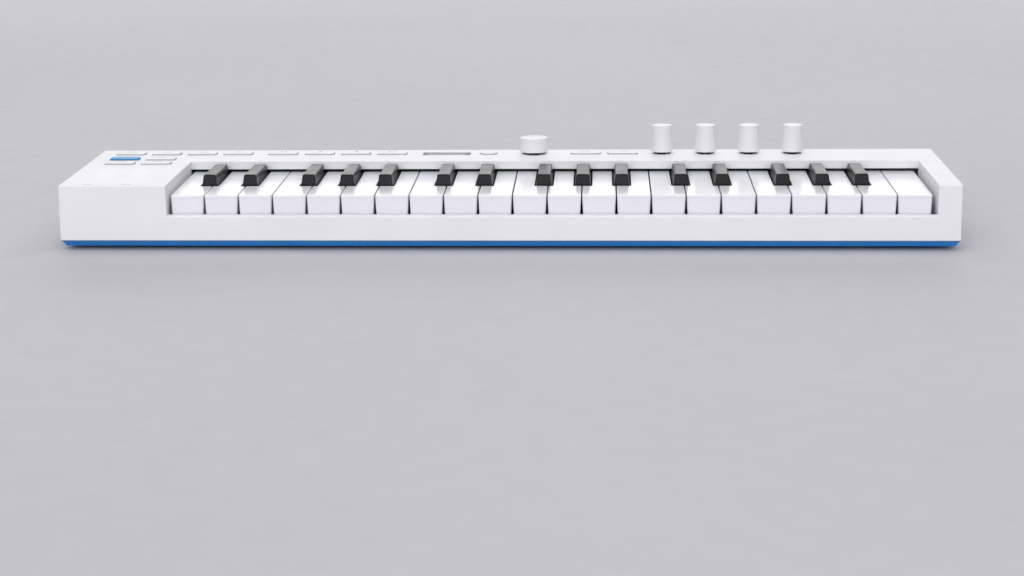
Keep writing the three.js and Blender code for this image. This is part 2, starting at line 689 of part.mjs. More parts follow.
// The middle of a white key's narrow rear part, from the left end of the keys.
function tailCentre(index) {
  const start = index * WHITE_PITCH;
  const end = start + WHITE_PITCH;
  const edges = blackCentres.flatMap((centre) => [centre - slotHalf, centre + slotHalf]);
  const inside = edges.filter((edge) => edge > start && edge < end);
  const lower = inside.filter((edge) => blackCentres.some((c) => Math.abs(c + slotHalf - edge) < 1e-6));
  const upper = inside.filter((edge) => blackCentres.some((c) => Math.abs(c - slotHalf - edge) < 1e-6));
  const low = lower.length ? lower[0] : start + WHITE_GAP_BOTTOM / 2;
  const high = upper.length ? upper[0] : end - WHITE_GAP_BOTTOM / 2;
  return (low + high) / 2;
}

// ---- Circuit boards with their sockets, switches, pots, encoder and display ----

function circuitBoards() {
  return joined([mainBoard(), panelBoard()]);
}

function mainBoard() {
  const low = MAIN_BOARD_TOP - BOARD_THICKNESS;
  const board = box(MAIN_BOARD_LEFT, MAIN_BOARD_RIGHT, MAIN_BOARD_FRONT, BOARD_REAR, low, MAIN_BOARD_TOP);
  const header = box(...HEADER, MAIN_BOARD_TOP - SINK, PANEL_BOARD_TOP - SINK);
  const sockets = [
    ...MINI_JACKS.map(miniJack),
    phoneJack(),
    ...DIN_SOCKETS.map(dinSocket),
    usbSocket(),
    powerSwitchBody(),
  ];
  return joined([board, header, ...sockets]);
}

// A socket's housing on the main board: its front half is behind the rear face of the case.
function socketHousing(x, width, depth, top) {
  return box(x - width / 2, x + width / 2, SOCKET_FACE - depth, SOCKET_FACE, MAIN_BOARD_TOP - SINK, top);
}

function miniJack(x) {
  const nozzle = cylinderY(x, MINI_JACK_Z, MINI_JACK_RADIUS, SOCKET_FACE - SINK, REAR_Y, COARSE_SIDES);
  const bore = cylinderY(x, MINI_JACK_Z, MINI_JACK_BORE, SOCKET_FACE - 10, REAR_Y + CUT, SMALL_SIDES);
  return socketHousing(x, 8.6, 12, MINI_JACK_Z + 4.2).add(nozzle).subtract(bore);
}

function phoneJack() {
  const x = PHONE_JACK_X;
  const nozzle = cylinderY(x, PHONE_JACK_Z, PHONE_JACK_RADIUS, SOCKET_FACE - SINK, REAR_Y, MEDIUM_SIDES);
  const bore = cylinderY(x, PHONE_JACK_Z, PHONE_JACK_BORE, SOCKET_FACE - 20, REAR_Y + CUT, MEDIUM_SIDES);
  return socketHousing(x, 15, 22, PHONE_JACK_Z + 7).add(nozzle).subtract(bore);
}

// A five-pin socket: a plug's round shell enters the groove, its pins enter the holes.
function dinSocket(x) {
  const face = RECESSED_FACE;
  const round = (radius, depth, reach) =>
    cylinderY(x, DIN_Z, radius, face - depth, face + reach, MEDIUM_SIDES);
  const barrel = cylinderY(x, DIN_Z, DIN_RADIUS, SOCKET_FACE - SINK, face, FINE_SIDES);
  const groove = round(DIN_GROOVE_OUTER, 7, CUT).subtract(round(DIN_GROOVE_INNER, 7 + CUT, 2 * CUT));
  const pins = Array.from({ length: DIN_PIN_COUNT }, (_, i) => {
    const angle = (Math.PI * i) / (DIN_PIN_COUNT - 1);
    const pinX = x + DIN_PIN_CIRCLE * Math.cos(angle);
    const pinZ = DIN_Z - DIN_PIN_CIRCLE * Math.sin(angle);
    return cylinderY(pinX, pinZ, DIN_PIN_RADIUS, face - 6, face + CUT, PIN_SIDES);
  });
  return cut(socketHousing(x, 20, 14, DIN_Z + 9.2).add(barrel), [groove, ...pins]);
}

function usbSocket() {
  const rear = REAR_Y - 9;
  const shell = prismY(slotOutline(USB_X, USB_Z, USB_WIDTH, USB_HEIGHT), rear, RECESSED_FACE);
  const mouth = prismY(
    slotOutline(USB_X, USB_Z, USB_WIDTH - 2 * USB_WALL, USB_HEIGHT - 2 * USB_WALL), rear + 2.5, REAR_Y + CUT,
  );
  const tongue = box(
    USB_X - 3.3, USB_X + 3.3, rear + 2, RECESSED_FACE - SINK, USB_Z - USB_WALL, USB_Z + USB_WALL,
  );
  const seat = box(USB_X - 4, USB_X + 4, rear, rear + 4.5, MAIN_BOARD_TOP - SINK, USB_Z - 1.3);
  return joined([cut(joined([shell, seat]), [mouth]), tongue]);
}

function powerSwitchBody() {
  const body = centredBox(
    POWER_SLOT_X, SWITCH_BODY_Y, 13, 7, MAIN_BOARD_TOP - SINK, POWER_Z + SLIDER_STEM + 1.2,
  );
  const room = SLIDER_STEM / 2 + GAP;
  const reach = POWER_TRAVEL / 2 + room;
  const slot = box(
    POWER_SLOT_X - reach, POWER_SLOT_X + reach,
    SLIDER_STEM_FRONT - GAP, SWITCH_BODY_Y + 4.5, POWER_Z - room, POWER_Z + room,
  );
  return body.subtract(slot);
}

function panelBoard() {
  const low = PANEL_BOARD_TOP - BOARD_THICKNESS;
  const strip = box(PANEL_BOARD_LEFT, PANEL_BOARD_RIGHT, PANEL_BOARD_FRONT, BOARD_REAR, low, PANEL_BOARD_TOP);
  const wing = box(PANEL_BOARD_LEFT, WING_RIGHT, WING_FRONT, PANEL_BOARD_FRONT + CUT, low, PANEL_BOARD_TOP);
  const onBoard = (x, y, width, depth, top) => centredBox(x, y, width, depth, PANEL_BOARD_TOP - SINK, top);
  const switchBody = ([x, y]) =>
    onBoard(x, y, SWITCH_WIDTH, SWITCH_WIDTH, PANEL_BOARD_TOP + SWITCH_HEIGHT);
  const display = onBoard(
    DISPLAY_X, CONTROL_Y, DISPLAY_WIDTH + 3, DISPLAY_DEPTH + 2, PANEL_UNDERSIDE - GAP,
  );
  // A potentiometer or encoder body, with the bore that its shaft turns in.
  const shaftBody = (x, width) => onBoard(x, CONTROL_Y, width, width, PANEL_UNDERSIDE - GAP).subtract(
    cylinderZ(x, CONTROL_Y, SHAFT_RADIUS + GAP, SHAFT_BOTTOM - GAP, BODY_TOP, COARSE_SIDES),
  );
  return joined([
    strip,
    wing,
    ...buttonPlaces.map(switchBody),
    switchBody([ROUND_BUTTON_X, CONTROL_Y]),
    display,
    ...macroColumns.map((x) => shaftBody(x, POT_WIDTH)),
    shaftBody(ENCODER_X, ENCODER_WIDTH),
  ]);
}

// ---- Knobs, buttons and the power switch, each about its own centre line ----

// A tapered knob on its shaft, with z measured from the underside of its skirt.
function macroKnob() {
  const shaftEnd = SHAFT_BOTTOM - KNOB_BOTTOM;
  return turned([
    [0, shaftEnd],
    [SHAFT_RADIUS, shaftEnd],
    [SHAFT_RADIUS, 13],
    [5.5, 13],
    [6, 0],
    [7.45, 0],
    [6.65, 17.1],
    [6.35, 17.7],
    [5.7, 18],
    [0, 18.2],
  ], MEDIUM_SIDES);
}

// A low broad knob with a dished top.
function encoderKnob() {
  const shaftEnd = SHAFT_BOTTOM - KNOB_BOTTOM;
  return turned([
    [0, shaftEnd],
    [SHAFT_RADIUS, shaftEnd],
    [SHAFT_RADIUS, 7.4],
    [7.9, 7.4],
    [8.1, 0],
    [9.2, 0],
    [9.5, 0.3],
    [9.5, 9.1],
    [8.8, 9.8],
    [7.9, 9.8],
    [7.2, 9.3],
    [0, 9.1],
  ], FINE_SIDES);
}

function buttonCap(x, y) {
  const outline = roundedRectangle(x, y, BUTTON_LENGTH, BUTTON_DEPTH, BUTTON_CORNER);
  return joined([
    prismZ(outline, BUTTON_FLANGE_BOTTOM, BUTTON_TOP),
    centredBox(x, y, BUTTON_STEM_WIDTH, BUTTON_STEM_WIDTH, BUTTON_STEM_BOTTOM, BUTTON_FLANGE_TOP),
  ]);
}

function panelButton() {
  const flange = centredBox(
    0, 0, BUTTON_LENGTH + 2 * BUTTON_FLANGE, BUTTON_DEPTH + 2 * BUTTON_FLANGE,
    BUTTON_FLANGE_BOTTOM, BUTTON_FLANGE_TOP,
  );
  return buttonCap(0, 0).add(flange);
}

function roundButton() {
  const cap = cylinderZ(0, 0, ROUND_BUTTON_RADIUS, BUTTON_FLANGE_BOTTOM, BUTTON_TOP, FINE_SIDES);
  const square = (width, low) => centredBox(0, 0, width, width, low, BUTTON_FLANGE_TOP);
  return joined([
    cap,
    square(ROUND_FLANGE_WIDTH, BUTTON_FLANGE_BOTTOM),
    square(BUTTON_STEM_WIDTH, BUTTON_STEM_BOTTOM),
  ]);
}

// Three caps on one moulded web that bends round the shift button.
function clusterButtons() {
  const left = BUTTON_COLUMN_1 - BUTTON_LENGTH / 2 - BUTTON_FLANGE;
  const right = BUTTON_COLUMN_1 + BUTTON_PITCH + BUTTON_LENGTH / 2 + BUTTON_FLANGE;
  const inner = right - BUTTON_LENGTH - 2 * BUTTON_FLANGE;
  const front = ROW_3_Y - BUTTON_DEPTH / 2 - BUTTON_FLANGE;
  const middle = ROW_3_Y + BUTTON_DEPTH / 2 + BUTTON_FLANGE;
  const rear = ROW_2_Y + BUTTON_DEPTH / 2 + BUTTON_FLANGE;
  const web = joined([
    box(left, right, front, middle, BUTTON_FLANGE_BOTTOM, BUTTON_FLANGE_TOP),
    box(inner, right, front, rear, BUTTON_FLANGE_BOTTOM, BUTTON_FLANGE_TOP),
  ]);
  return joined([web, ...clusterPlaces.map(([x, y]) => buttonCap(x, y))]);
}

// A round slider whose stem reaches into the switch body.
function powerSwitch() {
  const cap = cylinderY(0, 0, SLIDER_RADIUS, REAR_Y - 3.4, REAR_Y - GAP, MEDIUM_SIDES);
  const half = SLIDER_STEM / 2;
  const stem = box(-half, half, SLIDER_STEM_FRONT, REAR_Y - 3, -half, half);
  return cap.add(stem);
}

// ---- Assembly ----

const synthesizer = new THREE.Group();

function place(name, shape, finish, x = 0, y = 0, z = 0) {
  const mesh = new THREE.Mesh(geometryOf(shape), finish.clone());
  mesh.name = name;
  mesh.position.set(x, y, z);
  synthesizer.add(mesh);
}

const numbered = (stem, index) => `${stem}_${String(index + 1).padStart(2, '0')}`;

place('top_case', topCase(), WHITE_SHELL);
place('bottom_case', bottomCase(), BLUE_SHELL);
place('keybed_frame', keybedFrame(), GREY_FRAME);
place('circuit_boards', circuitBoards(), GREEN_BOARD);

for (let index = 0; index < WHITE_COUNT; index += 1) {
  place(numbered('white_key', index), whiteKey(index), WHITE_KEY, KEYS_LEFT + index * WHITE_PITCH);
}
const black = blackKey();
blackCentres.forEach((centre, index) => {
  place(numbered('black_key', index), black, BLACK_KEY, KEYS_LEFT + centre);
});

const macro = macroKnob();
macroColumns.forEach((x, index) => {
  place(`macro_knob_${index + 1}`, macro, WHITE_KNOB, x, CONTROL_Y, KNOB_BOTTOM);
});
place('encoder_knob', encoderKnob(), WHITE_KNOB, ENCODER_X, CONTROL_Y, KNOB_BOTTOM);

const rectangular = panelButton();
for (const { name, x } of topRow) {
  place(name, rectangular, WHITE_BUTTON, x, CONTROL_Y);
}
place('shift_button', rectangular, BLUE_BUTTON, SHIFT_PLACE[0], SHIFT_PLACE[1]);
place('cluster_buttons', clusterButtons(), WHITE_BUTTON);
place('round_button', roundButton(), WHITE_BUTTON, ROUND_BUTTON_X, CONTROL_Y);
place('power_switch', powerSwitch(), WHITE_KNOB, POWER_SLOT_X + POWER_TRAVEL / 2, 0, POWER_Z);

export default synthesizer;
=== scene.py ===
"""A 37-key controller synthesizer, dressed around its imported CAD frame.

Lengths in this file are millimetres until a mesh is made, where MM turns them into metres.
+X is to the player's right, +Y to the rear and +Z up, as in the CAD.
"""

import math

import bmesh
import bpy
from mathutils import Matrix, Vector


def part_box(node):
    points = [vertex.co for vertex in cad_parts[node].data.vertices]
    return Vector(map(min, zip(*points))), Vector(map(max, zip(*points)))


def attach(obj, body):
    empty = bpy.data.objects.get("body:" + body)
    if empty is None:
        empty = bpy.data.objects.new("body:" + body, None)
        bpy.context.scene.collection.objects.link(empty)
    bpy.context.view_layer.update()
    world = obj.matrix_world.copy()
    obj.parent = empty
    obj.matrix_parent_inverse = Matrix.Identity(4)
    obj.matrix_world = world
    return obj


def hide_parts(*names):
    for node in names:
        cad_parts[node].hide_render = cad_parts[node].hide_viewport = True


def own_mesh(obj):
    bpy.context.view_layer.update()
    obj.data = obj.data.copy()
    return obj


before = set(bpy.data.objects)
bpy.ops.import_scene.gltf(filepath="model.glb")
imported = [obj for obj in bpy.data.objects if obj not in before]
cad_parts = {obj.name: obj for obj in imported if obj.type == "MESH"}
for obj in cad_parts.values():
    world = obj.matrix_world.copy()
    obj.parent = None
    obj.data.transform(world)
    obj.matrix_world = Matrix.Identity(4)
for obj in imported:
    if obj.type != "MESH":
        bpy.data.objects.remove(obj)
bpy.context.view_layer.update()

MM = 0.001
SCENE = bpy.context.scene

# Body
SIDE_X = 289
REAR_Y = 73.25
SHELL_BOTTOM = 6.3
BODY_TOP = 42.4
WALL = 2.2
PANEL_UNDERSIDE = BODY_TOP - WALL
FOOT_EDGE = 0.5
TOP_EDGE = 0.8
TRAY_TOP = 6
TRAY_BOTTOM = 2.3
TRAY_SLOPE = 2.7
TRAY_FLOOR_TOP = 4.7
CUT = 1
PRINT_DEPTH = 0.03
INK_RAISE = 0.02

# Key well
WELL_LEFT = -218.7
WELL_RIGHT = 274
WELL_REAR = 24
WELL_REAR_WALL_BOTTOM = 36.9
WELL_WALL_BOTTOM = 12
LIP_TOP = 22.6
LIP_DEPTH = 5.9
LIP_EDGE = 1.1

# Keys
WHITE_COUNT = 22
WHITE_PITCH = 22.22
KEYS_LEFT = -217.2
BLACK_CELLS = (0.9, 2.115, 3.875, 5.02, 6.165)
WHITES_PER_OCTAVE = 7
OCTAVES = 3
KEY_FRONT = -66
KEY_REAR = 43.5
WHITE_TOP = 34.8
KEY_TAIL_TOP = 30.6
STEP_FRONT = WELL_REAR + 4
STEP_REAR = WELL_REAR + 9
SLOT_HALF = 6
SLOT_FRONT = -31.2
KEY_CEILING = 29
FRONT_CEILING = 33
PIVOT_Y = 40
PIVOT_Z = 26.9

# Panel controls
CONTROL_Y = 56.3
BUTTON_TOP = 43.4
BUTTON_WIDTH = 20
BUTTON_DEPTH = 9.5
FLANGE_WIDTH = 22
FLANGE_DEPTH = 11.5
FLANGE_LOW = 38.4
FLANGE_TOP = 39.4
STEM_LOW = 35.9
STEM_SIDE = 3
MACRO_HOLE = 5.9
ENCODER_HOLE = 7.9
DISPLAY_X = -44.8
DISPLAY_WIDTH = 33
DISPLAY_DEPTH = 14.5
MODULE_TOP = 39.88
WINDOW_TOP = 41.6
STRIP_COLUMNS = (-267.9, -245)
STRIP_WIDTH = 16
STRIP_FRONT = -61
STRIP_REAR = 0
STRIP_RECESS = 0.4

# Rear sockets
MINI_JACKS = (-54.9, -66.5, -78.1, -89.7, -130, -141.8)
MINI_JACK_Z = 16.7
PHONE_JACK = (-107.7, 17.8)
DIN_SOCKETS = (-167.5, -190.4)
DIN_Z = 21.5
USB = (-224.4, 12.5)
POWER_SLOT_X = -255.15
POWER_Z = 13.65
LOCK = (266.8, 20.3)


# ---- Outlines: functions of how far the outline is grown, which return counter-clockwise points ----

def rounded(corners, grow=0.0, steps=4):
    """A polygon of (u, v, radius) corners moved outwards by grow. The number of points never changes."""
    points = []
    for index, (u, v, radius) in enumerate(corners):
        before = Vector(corners[index - 1][:2])
        here = Vector((u, v))
        after = Vector(corners[(index + 1) % len(corners)][:2])
        first = (here - before).normalized()
        second = (after - here).normalized()
        normal_1 = Vector((first.y, -first.x))
        normal_2 = Vector((second.y, -second.x))
        turn = math.atan2(first.cross(second), first.dot(second))
        spread = (normal_1 + normal_2) / (1 + normal_1.dot(normal_2))
        side = 1 if turn > 0 else -1
        reach = max(radius + side * grow, 0.01)
        centre = here + spread * (grow - side * reach)
        start = math.atan2(normal_1.y, normal_1.x)
        for step in range(steps + 1):
            angle = start + turn * step / steps
            spoke = side * reach
            points.append((centre.x + spoke * math.cos(angle), centre.y + spoke * math.sin(angle)))
    return points


def rectangle(u, v, width, height, radius, steps=4):
    left, right, low, high = u - width / 2, u + width / 2, v - height / 2, v + height / 2
    corners = [(left, low, radius), (right, low, radius), (right, high, radius), (left, high, radius)]
    return lambda grow=0.0: rounded(corners, grow, steps)


def circle(u, v, radius, steps=40):
    def outline(grow=0.0):
        reach = max(radius + grow, 0.01)
        turns = [2 * math.pi * step / steps for step in range(steps)]
        return [(u + reach * math.cos(turn), v + reach * math.sin(turn)) for turn in turns]
    return outline


def quarter(steps):
    """Sines and cosines of a quarter turn, from its start to its end."""
    return [(math.sin(math.pi / 2 * s / steps), math.cos(math.pi / 2 * s / steps)) for s in range(steps + 1)]


def top_edge(outline, top, radius, steps=3):
    """The levels of an edge that rounds over to a flat top."""
    return [(outline(radius * (cosine - 1)), top - radius * (1 - sine)) for sine, cosine in quarter(steps)]


def bottom_edge(outline, bottom, radius, steps=3):
    levels = reversed(top_edge(outline, bottom, radius, steps))
    return [(points, 2 * bottom - level) for points, level in levels]


def slab(outline, bottom, top, edge=0.2, steps=3):
    """A plate with a rounded top edge and a sharp bottom edge."""
    return [(outline(), bottom), *top_edge(outline, top, edge, steps)]


def flared(outline, deep, surface, rim, direction=1, steps=3):
    """A cutter for a hole whose rim rounds over at the surface, and which leaves along direction."""
    levels = [(outline(), deep)]
    for sine, cosine in quarter(steps):
        levels.append((outline(rim * (1 - cosine)), surface - direction * rim * (1 - sine)))
    levels.append((outline(rim), surface + direction * CUT))
    return levels


# ---- Meshes ----

def ring_verts(mesh, levels, axis):
    """A ring of new vertices for each (points, level). The rings lie across the axis, z or y."""
    if axis == "z":
        return [[mesh.verts.new((u * MM, v * MM, level * MM)) for u, v in points] for points, level in levels]
    return [[mesh.verts.new((u * MM, level * MM, v * MM)) for u, v in points] for points, level in levels]


def bridge(mesh, pairs):
    """Faces between each pair of rings."""
    for low, high in pairs:
        for i in range(len(low)):
            j = (i + 1) % len(low)
            mesh.faces.new((low[i], low[j], high[j], high[i]))


def closed(mesh, rings):
    """The mesh with faces from ring to ring and over both ends."""
    bridge(mesh, zip(rings, rings[1:]))
    mesh.faces.new(rings[0])
    mesh.faces.new(rings[-1])
    return mesh


def stack(levels, axis="z"):
    """A closed solid from rings of equal length, each (points, level)."""
    mesh = bmesh.new()
    return closed(mesh, ring_verts(mesh, levels, axis))


def lathe(x, y, profile, steps=64, axis="z"):
    """A turned part: the profile is (radius, level) from one flat end to the other."""
    return stack([(circle(x, y, radius, steps)(), level) for radius, level in profile], axis)


def block(x0, x1, y0, y1, z0, z1):
    corners = [(x0, y0), (x1, y0), (x1, y1), (x0, y1)]
    return stack([(corners, z0), (corners, z1)])


def merged(meshes):
    """Several meshes as one, for parts that don't touch or for a set of cutters."""
    whole = bmesh.new()
    for mesh in meshes:
        data = bpy.data.meshes.new("part")
        mesh.to_mesh(data)
        mesh.free()
        whole.from_mesh(data)
        bpy.data.meshes.remove(data)
    return whole


def loop(levels, axis="z"):
    """A closed ring of material: the levels go round its section and come back to the first."""
    mesh = bmesh.new()
    rings = ring_verts(mesh, levels, axis)
    bridge(mesh, zip(rings, rings[1:] + rings[:1]))
    return mesh


def hoop(x, z, profile, steps=48):
    return loop([(circle(x, z, radius, steps)(), level) for radius, level in profile], "y")


def bar(x, y, width, depth):
    return rectangle(x, y, width, depth, min(width, depth) * 0.2, 1)()


def tube(path, radius, sides):
    """A round wire along a path, with flat ends."""
    mesh = bmesh.new()
    rings = []
    for index, here in enumerate(path):
        last = path[max(index - 1, 0)]
        following = path[min(index + 1, len(path) - 1)]
        along = (Vector(following) - Vector(last)).normalized()
        across = along.cross(Vector((0, 0, 1)))
        across = across.normalized() if across.length > 1e-3 else Vector((1, 0, 0))
        upward = across.cross(along)
        ring = []
        for side in range(sides):
            turn = 2 * math.pi * side / sides
            spot = Vector(here) + radius * (math.cos(turn) * across + math.sin(turn) * upward)
            ring.append(mesh.verts.new(spot * MM))
        rings.append(ring)
    return closed(mesh, rings)


def solid(mesh, name="solid"):
    """An object from a bmesh, with its faces turned outwards."""
    bmesh.ops.remove_doubles(mesh, verts=mesh.verts, dist=2e-7)
    bmesh.ops.dissolve_degenerate(mesh, edges=mesh.edges, dist=1e-7)
    bmesh.ops.recalc_face_normals(mesh, faces=mesh.faces)
    data = bpy.data.meshes.new(name)
    mesh.to_mesh(data)
    mesh.free()
    obj = bpy.data.objects.new(name, data)
    SCENE.collection.objects.link(obj)
    return obj


def combine(target, others, operation):
    """Applies a boolean with each of the other meshes in turn."""
    for other in others:
        tool = solid(other, "tool")
        modifier = target.modifiers.new("combine", "BOOLEAN")
        modifier.operation = operation
        modifier.solver = "EXACT"
        modifier.object = tool
        evaluated = target.evaluated_get(bpy.context.evaluated_depsgraph_get())
        data = bpy.data.meshes.new_from_object(evaluated)
        target.modifiers.clear()
        old, target.data = target.data, data
        bpy.data.meshes.remove(old)
        spent = tool.data
        bpy.data.objects.remove(tool)
        bpy.data.meshes.remove(spent)
    return target


def cut(target, *others):
    return combine(target, others, "DIFFERENCE")


def join(target, *others):
    return combine(target, others, "UNION")


def finish_piece(obj, name, body, finish, slot, replaces=(), smooth=32):
    """Names, shades and paints a piece, and hangs it on its CAD body."""
    obj.name = name
    obj.data.name = name
    obj.data.materials.clear()
    obj.data.materials.append(finish)
    for face in obj.data.polygons:
        face.material_index = 0
    obj.data.shade_smooth()
    obj.data.set_sharp_from_angle(angle=math.radians(smooth))
    weighted = obj.modifiers.new("weighted normals", "WEIGHTED_NORMAL")
    weighted.keep_sharp = True
    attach(obj, body)
    if replaces:
        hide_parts(*replaces)
    return obj


def piece(name, mesh, body, finish, slot, replaces=(), smooth=32):
    return finish_piece(solid(mesh), name, body, finish, slot, replaces, smooth)


# ---- Materials ----

class Paint:
    """A node material: constants go straight on the shader's sockets, detail comes from nodes."""

    def __init__(self, name, **sockets):
        self.material = bpy.data.materials.new(name)
        self.material.use_nodes = True
        self.tree = self.material.node_tree
        self.shader = self.tree.nodes["Principled BSDF"]
        for socket, value in sockets.items():
            self.shader.inputs[socket.replace("_", " ")].default_value = value
        self.place = self.add("ShaderNodeTexCoord").outputs["Object"]

    def add(self, kind, inputs=(), **properties):
        node = self.tree.nodes.new(kind)
        for key, value in properties.items():
            setattr(node, key, value)
        for socket, value in dict(inputs).items():
            if isinstance(value, bpy.types.NodeSocket):
                self.tree.links.new(value, node.inputs[socket])
            else:
                node.inputs[socket].default_value = value
        return node

    def noise(self, size, detail=2.0, stretch=(1, 1, 1)):
        """Noise with features of about size millimetres."""
        place = self.place
        if stretch != (1, 1, 1):
            place = self.add("ShaderNodeMapping", {"Vector": place, "Scale": stretch}).outputs[0]
        scale = 1 / (size * MM)
        return self.add("ShaderNodeTexNoise", {"Vector": place, "Scale": scale, "Detail": detail}).outputs[0]

    def ramp(self, value, *stops):
        node = self.add("ShaderNodeValToRGB", {"Fac": value})
        ramp = node.color_ramp
        while len(ramp.elements) < len(stops):
            ramp.elements.new(1.0)
        for element, (position, colour) in zip(ramp.elements, stops):
            element.position = position
            element.color = (*colour, 1)
        return node.outputs[0]

    def spread(self, value, low, high):
        sockets = {"Value": value, "From Min": 0.3, "From Max": 0.7, "To Min": low, "To Max": high}
        return self.add("ShaderNodeMapRange", sockets).outputs[0]

    def bump(self, height, strength, distance, normal=None):
        sockets = {"Height": height, "Strength": strength, "Distance": distance * MM}
        if normal is not None:
            sockets["Normal"] = normal
        return self.add("ShaderNodeBump", sockets).outputs[0]

    def shaded_below(self, source, height, share):
        """The same colour, darker by a share under a height in millimetres: painted shade."""
        level = self.add("ShaderNodeSeparateXYZ", {"Vector": self.place}).outputs["Z"]
        limits = {"Value": level, "From Min": (height - 0.15) * MM, "From Max": (height + 0.15) * MM}
        factor = self.add("ShaderNodeMapRange", {**limits, "To Min": 1 - share, "To Max": 1}).outputs[0]
        return self.add("ShaderNodeVectorMath", {0: source, 1: factor}, operation="MULTIPLY").outputs[0]

    def colour(self, source):
        self.tree.links.new(source, self.shader.inputs["Base Color"])

    def roughness(self, source):
        self.tree.links.new(source, self.shader.inputs["Roughness"])

    def normal(self, source):
        self.tree.links.new(source, self.shader.inputs["Normal"])


def scaled(colour, factor):
    return tuple(min(1.0, channel * factor) for channel in colour)


def plastic(name, colour, roughness, grain=0.3, relief=0.012, mottle=0.02, drift=0.04, painted_side_shade=0.0, **sockets):
    """Moulded plastic: fine spark texture, faint flow marks in the gloss and a trace of uneven colour.

    Given a share, everything below a button's top edge is darker by that share: painted shade on the button's
    sides.
    """
    paint = Paint(name, **sockets)
    cloud = paint.noise(45, 3)
    surface = paint.ramp(cloud, (0.3, scaled(colour, 1 - mottle)), (0.7, scaled(colour, 1 + mottle)))
    # painted shade: below a button's top edge the colour is darkened by the share
    paint.colour(paint.shaded_below(surface, BUTTON_TOP - 0.3, painted_side_shade) if painted_side_shade else surface)
    paint.roughness(paint.spread(paint.noise(14, 4), roughness - drift, roughness + drift))
    waves = paint.bump(paint.noise(9, 1), 0.25, 0.02)
    paint.normal(paint.bump(paint.noise(grain, 2), 0.6, relief, waves))
    return paint.material


def metal(name, colour, roughness, stretch=(1, 1, 1), grain=0.4):
    paint = Paint(name, Metallic=1.0)
    cloud = paint.noise(3, 3)
    paint.colour(paint.ramp(cloud, (0.3, scaled(colour, 0.9)), (0.7, colour)))
    paint.roughness(paint.spread(paint.noise(grain, 3, stretch), roughness - 0.08, roughness + 0.08))
    paint.normal(paint.bump(paint.noise(grain, 2, stretch), 0.4, 0.01))
    return paint.material


def board_green(name):
    """Solder mask over copper tracks, which show as a slightly lighter green relief."""
    paint = Paint(name, IOR=1.5)
    tracks = paint.add("ShaderNodeTexBrick", {
        "Vector": paint.place, "Scale": 60.0, "Mortar Size": 0.018, "Mortar Smooth": 0.1,
        "Color1": (0, 0, 0, 1), "Color2": (0, 0, 0, 1), "Mortar": (1, 1, 1, 1),
    }).outputs["Color"]
    paint.colour(paint.ramp(tracks, (0.0, (0.012, 0.11, 0.05)), (1.0, (0.03, 0.2, 0.09))))
    paint.roughness(paint.spread(paint.noise(2, 2), 0.28, 0.42))
    paint.normal(paint.bump(tracks, 0.5, 0.05))
    return paint.material


SHELL_WHITE = plastic("shell_white", (0.83, 0.83, 0.85), 0.5, grain=0.35, relief=0.01, Specular_IOR_Level=0.3)
TRAY_BLUE = plastic("tray_blue", (0.022, 0.225, 0.62), 0.4, grain=0.35, relief=0.012, mottle=0.05)
KEY_WHITE = plastic("key_white", (0.835, 0.832, 0.885), 0.2, grain=0.8, relief=0.0015, mottle=0.01,
                    drift=0.03)
KEY_BLACK = plastic("key_black", (0.007, 0.008, 0.009), 0.33, grain=0.25, relief=0.012, mottle=0.15,
                    Specular_IOR_Level=0.16)
KNOB_WHITE = plastic("knob_white", (0.78, 0.775, 0.8), 0.4, grain=0.25, relief=0.006)
# The 0.45 share darkens each button's sides under its top edge: painted shade.
BUTTON_WHITE = plastic("button_white", (0.82, 0.82, 0.84), 0.55, grain=0.2, relief=0.012, painted_side_shade=0.45)
BUTTON_BLUE = plastic("button_blue", (0.05, 0.31, 0.66), 0.5, grain=0.2, relief=0.012, mottle=0.05,
                      painted_side_shade=0.45, Specular_IOR_Level=0.3)
FRAME_GREY = plastic("frame_grey", (0.2, 0.205, 0.215), 0.55)
SOCKET_BLACK = plastic("socket_black", (0.022, 0.022, 0.024), 0.42, grain=0.2, mottle=0.1)
SOCKET_GREY = plastic("socket_grey", (0.045, 0.045, 0.048), 0.5, grain=0.2, mottle=0.1)
RUBBER_BLACK = plastic("rubber_black", (0.02, 0.02, 0.021), 0.75, grain=0.3, relief=0.03, mottle=0.1)
NICKEL = metal("nickel", (0.72, 0.7, 0.65), 0.28)
BRASS = metal("brass", (0.74, 0.66, 0.48), 0.32)
STRIP_WHITE = plastic("strip_white", (0.83, 0.83, 0.85), 0.45, grain=0.5, relief=0.005,
                      Specular_IOR_Level=0.3)
SHUTTER_GREY = plastic("shutter_grey", (0.42, 0.42, 0.44), 0.5, grain=0.25, mottle=0.04)
STEEL = metal("steel", (0.58, 0.58, 0.6), 0.3, stretch=(1, 1, 8))
BOARD = board_green("board_green")
WINDOW_GREY = plastic("window_grey", (0.14, 0.14, 0.147), 0.4, grain=0.6, relief=0.001, mottle=0.04,
                      drift=0.02, Specular_IOR_Level=0.12)
SCREEN_GREY = plastic("screen_grey", (0.33, 0.33, 0.345), 0.4, grain=0.6, relief=0.001, mottle=0.03,
                      drift=0.02, Specular_IOR_Level=0.12)
INK = plastic("ink_grey", (0.16, 0.165, 0.175), 0.6, grain=0.15, mottle=0.1)
INK_PALE = plastic("ink_pale", (0.48, 0.49, 0.52), 0.6, grain=0.15, mottle=0.08)


# ---- Where the moving pieces are, from the CAD ----

def centre_of(node):
    low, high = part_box(node)
    return ((low.x + high.x) / 2 / MM, (low.y + high.y) / 2 / MM)


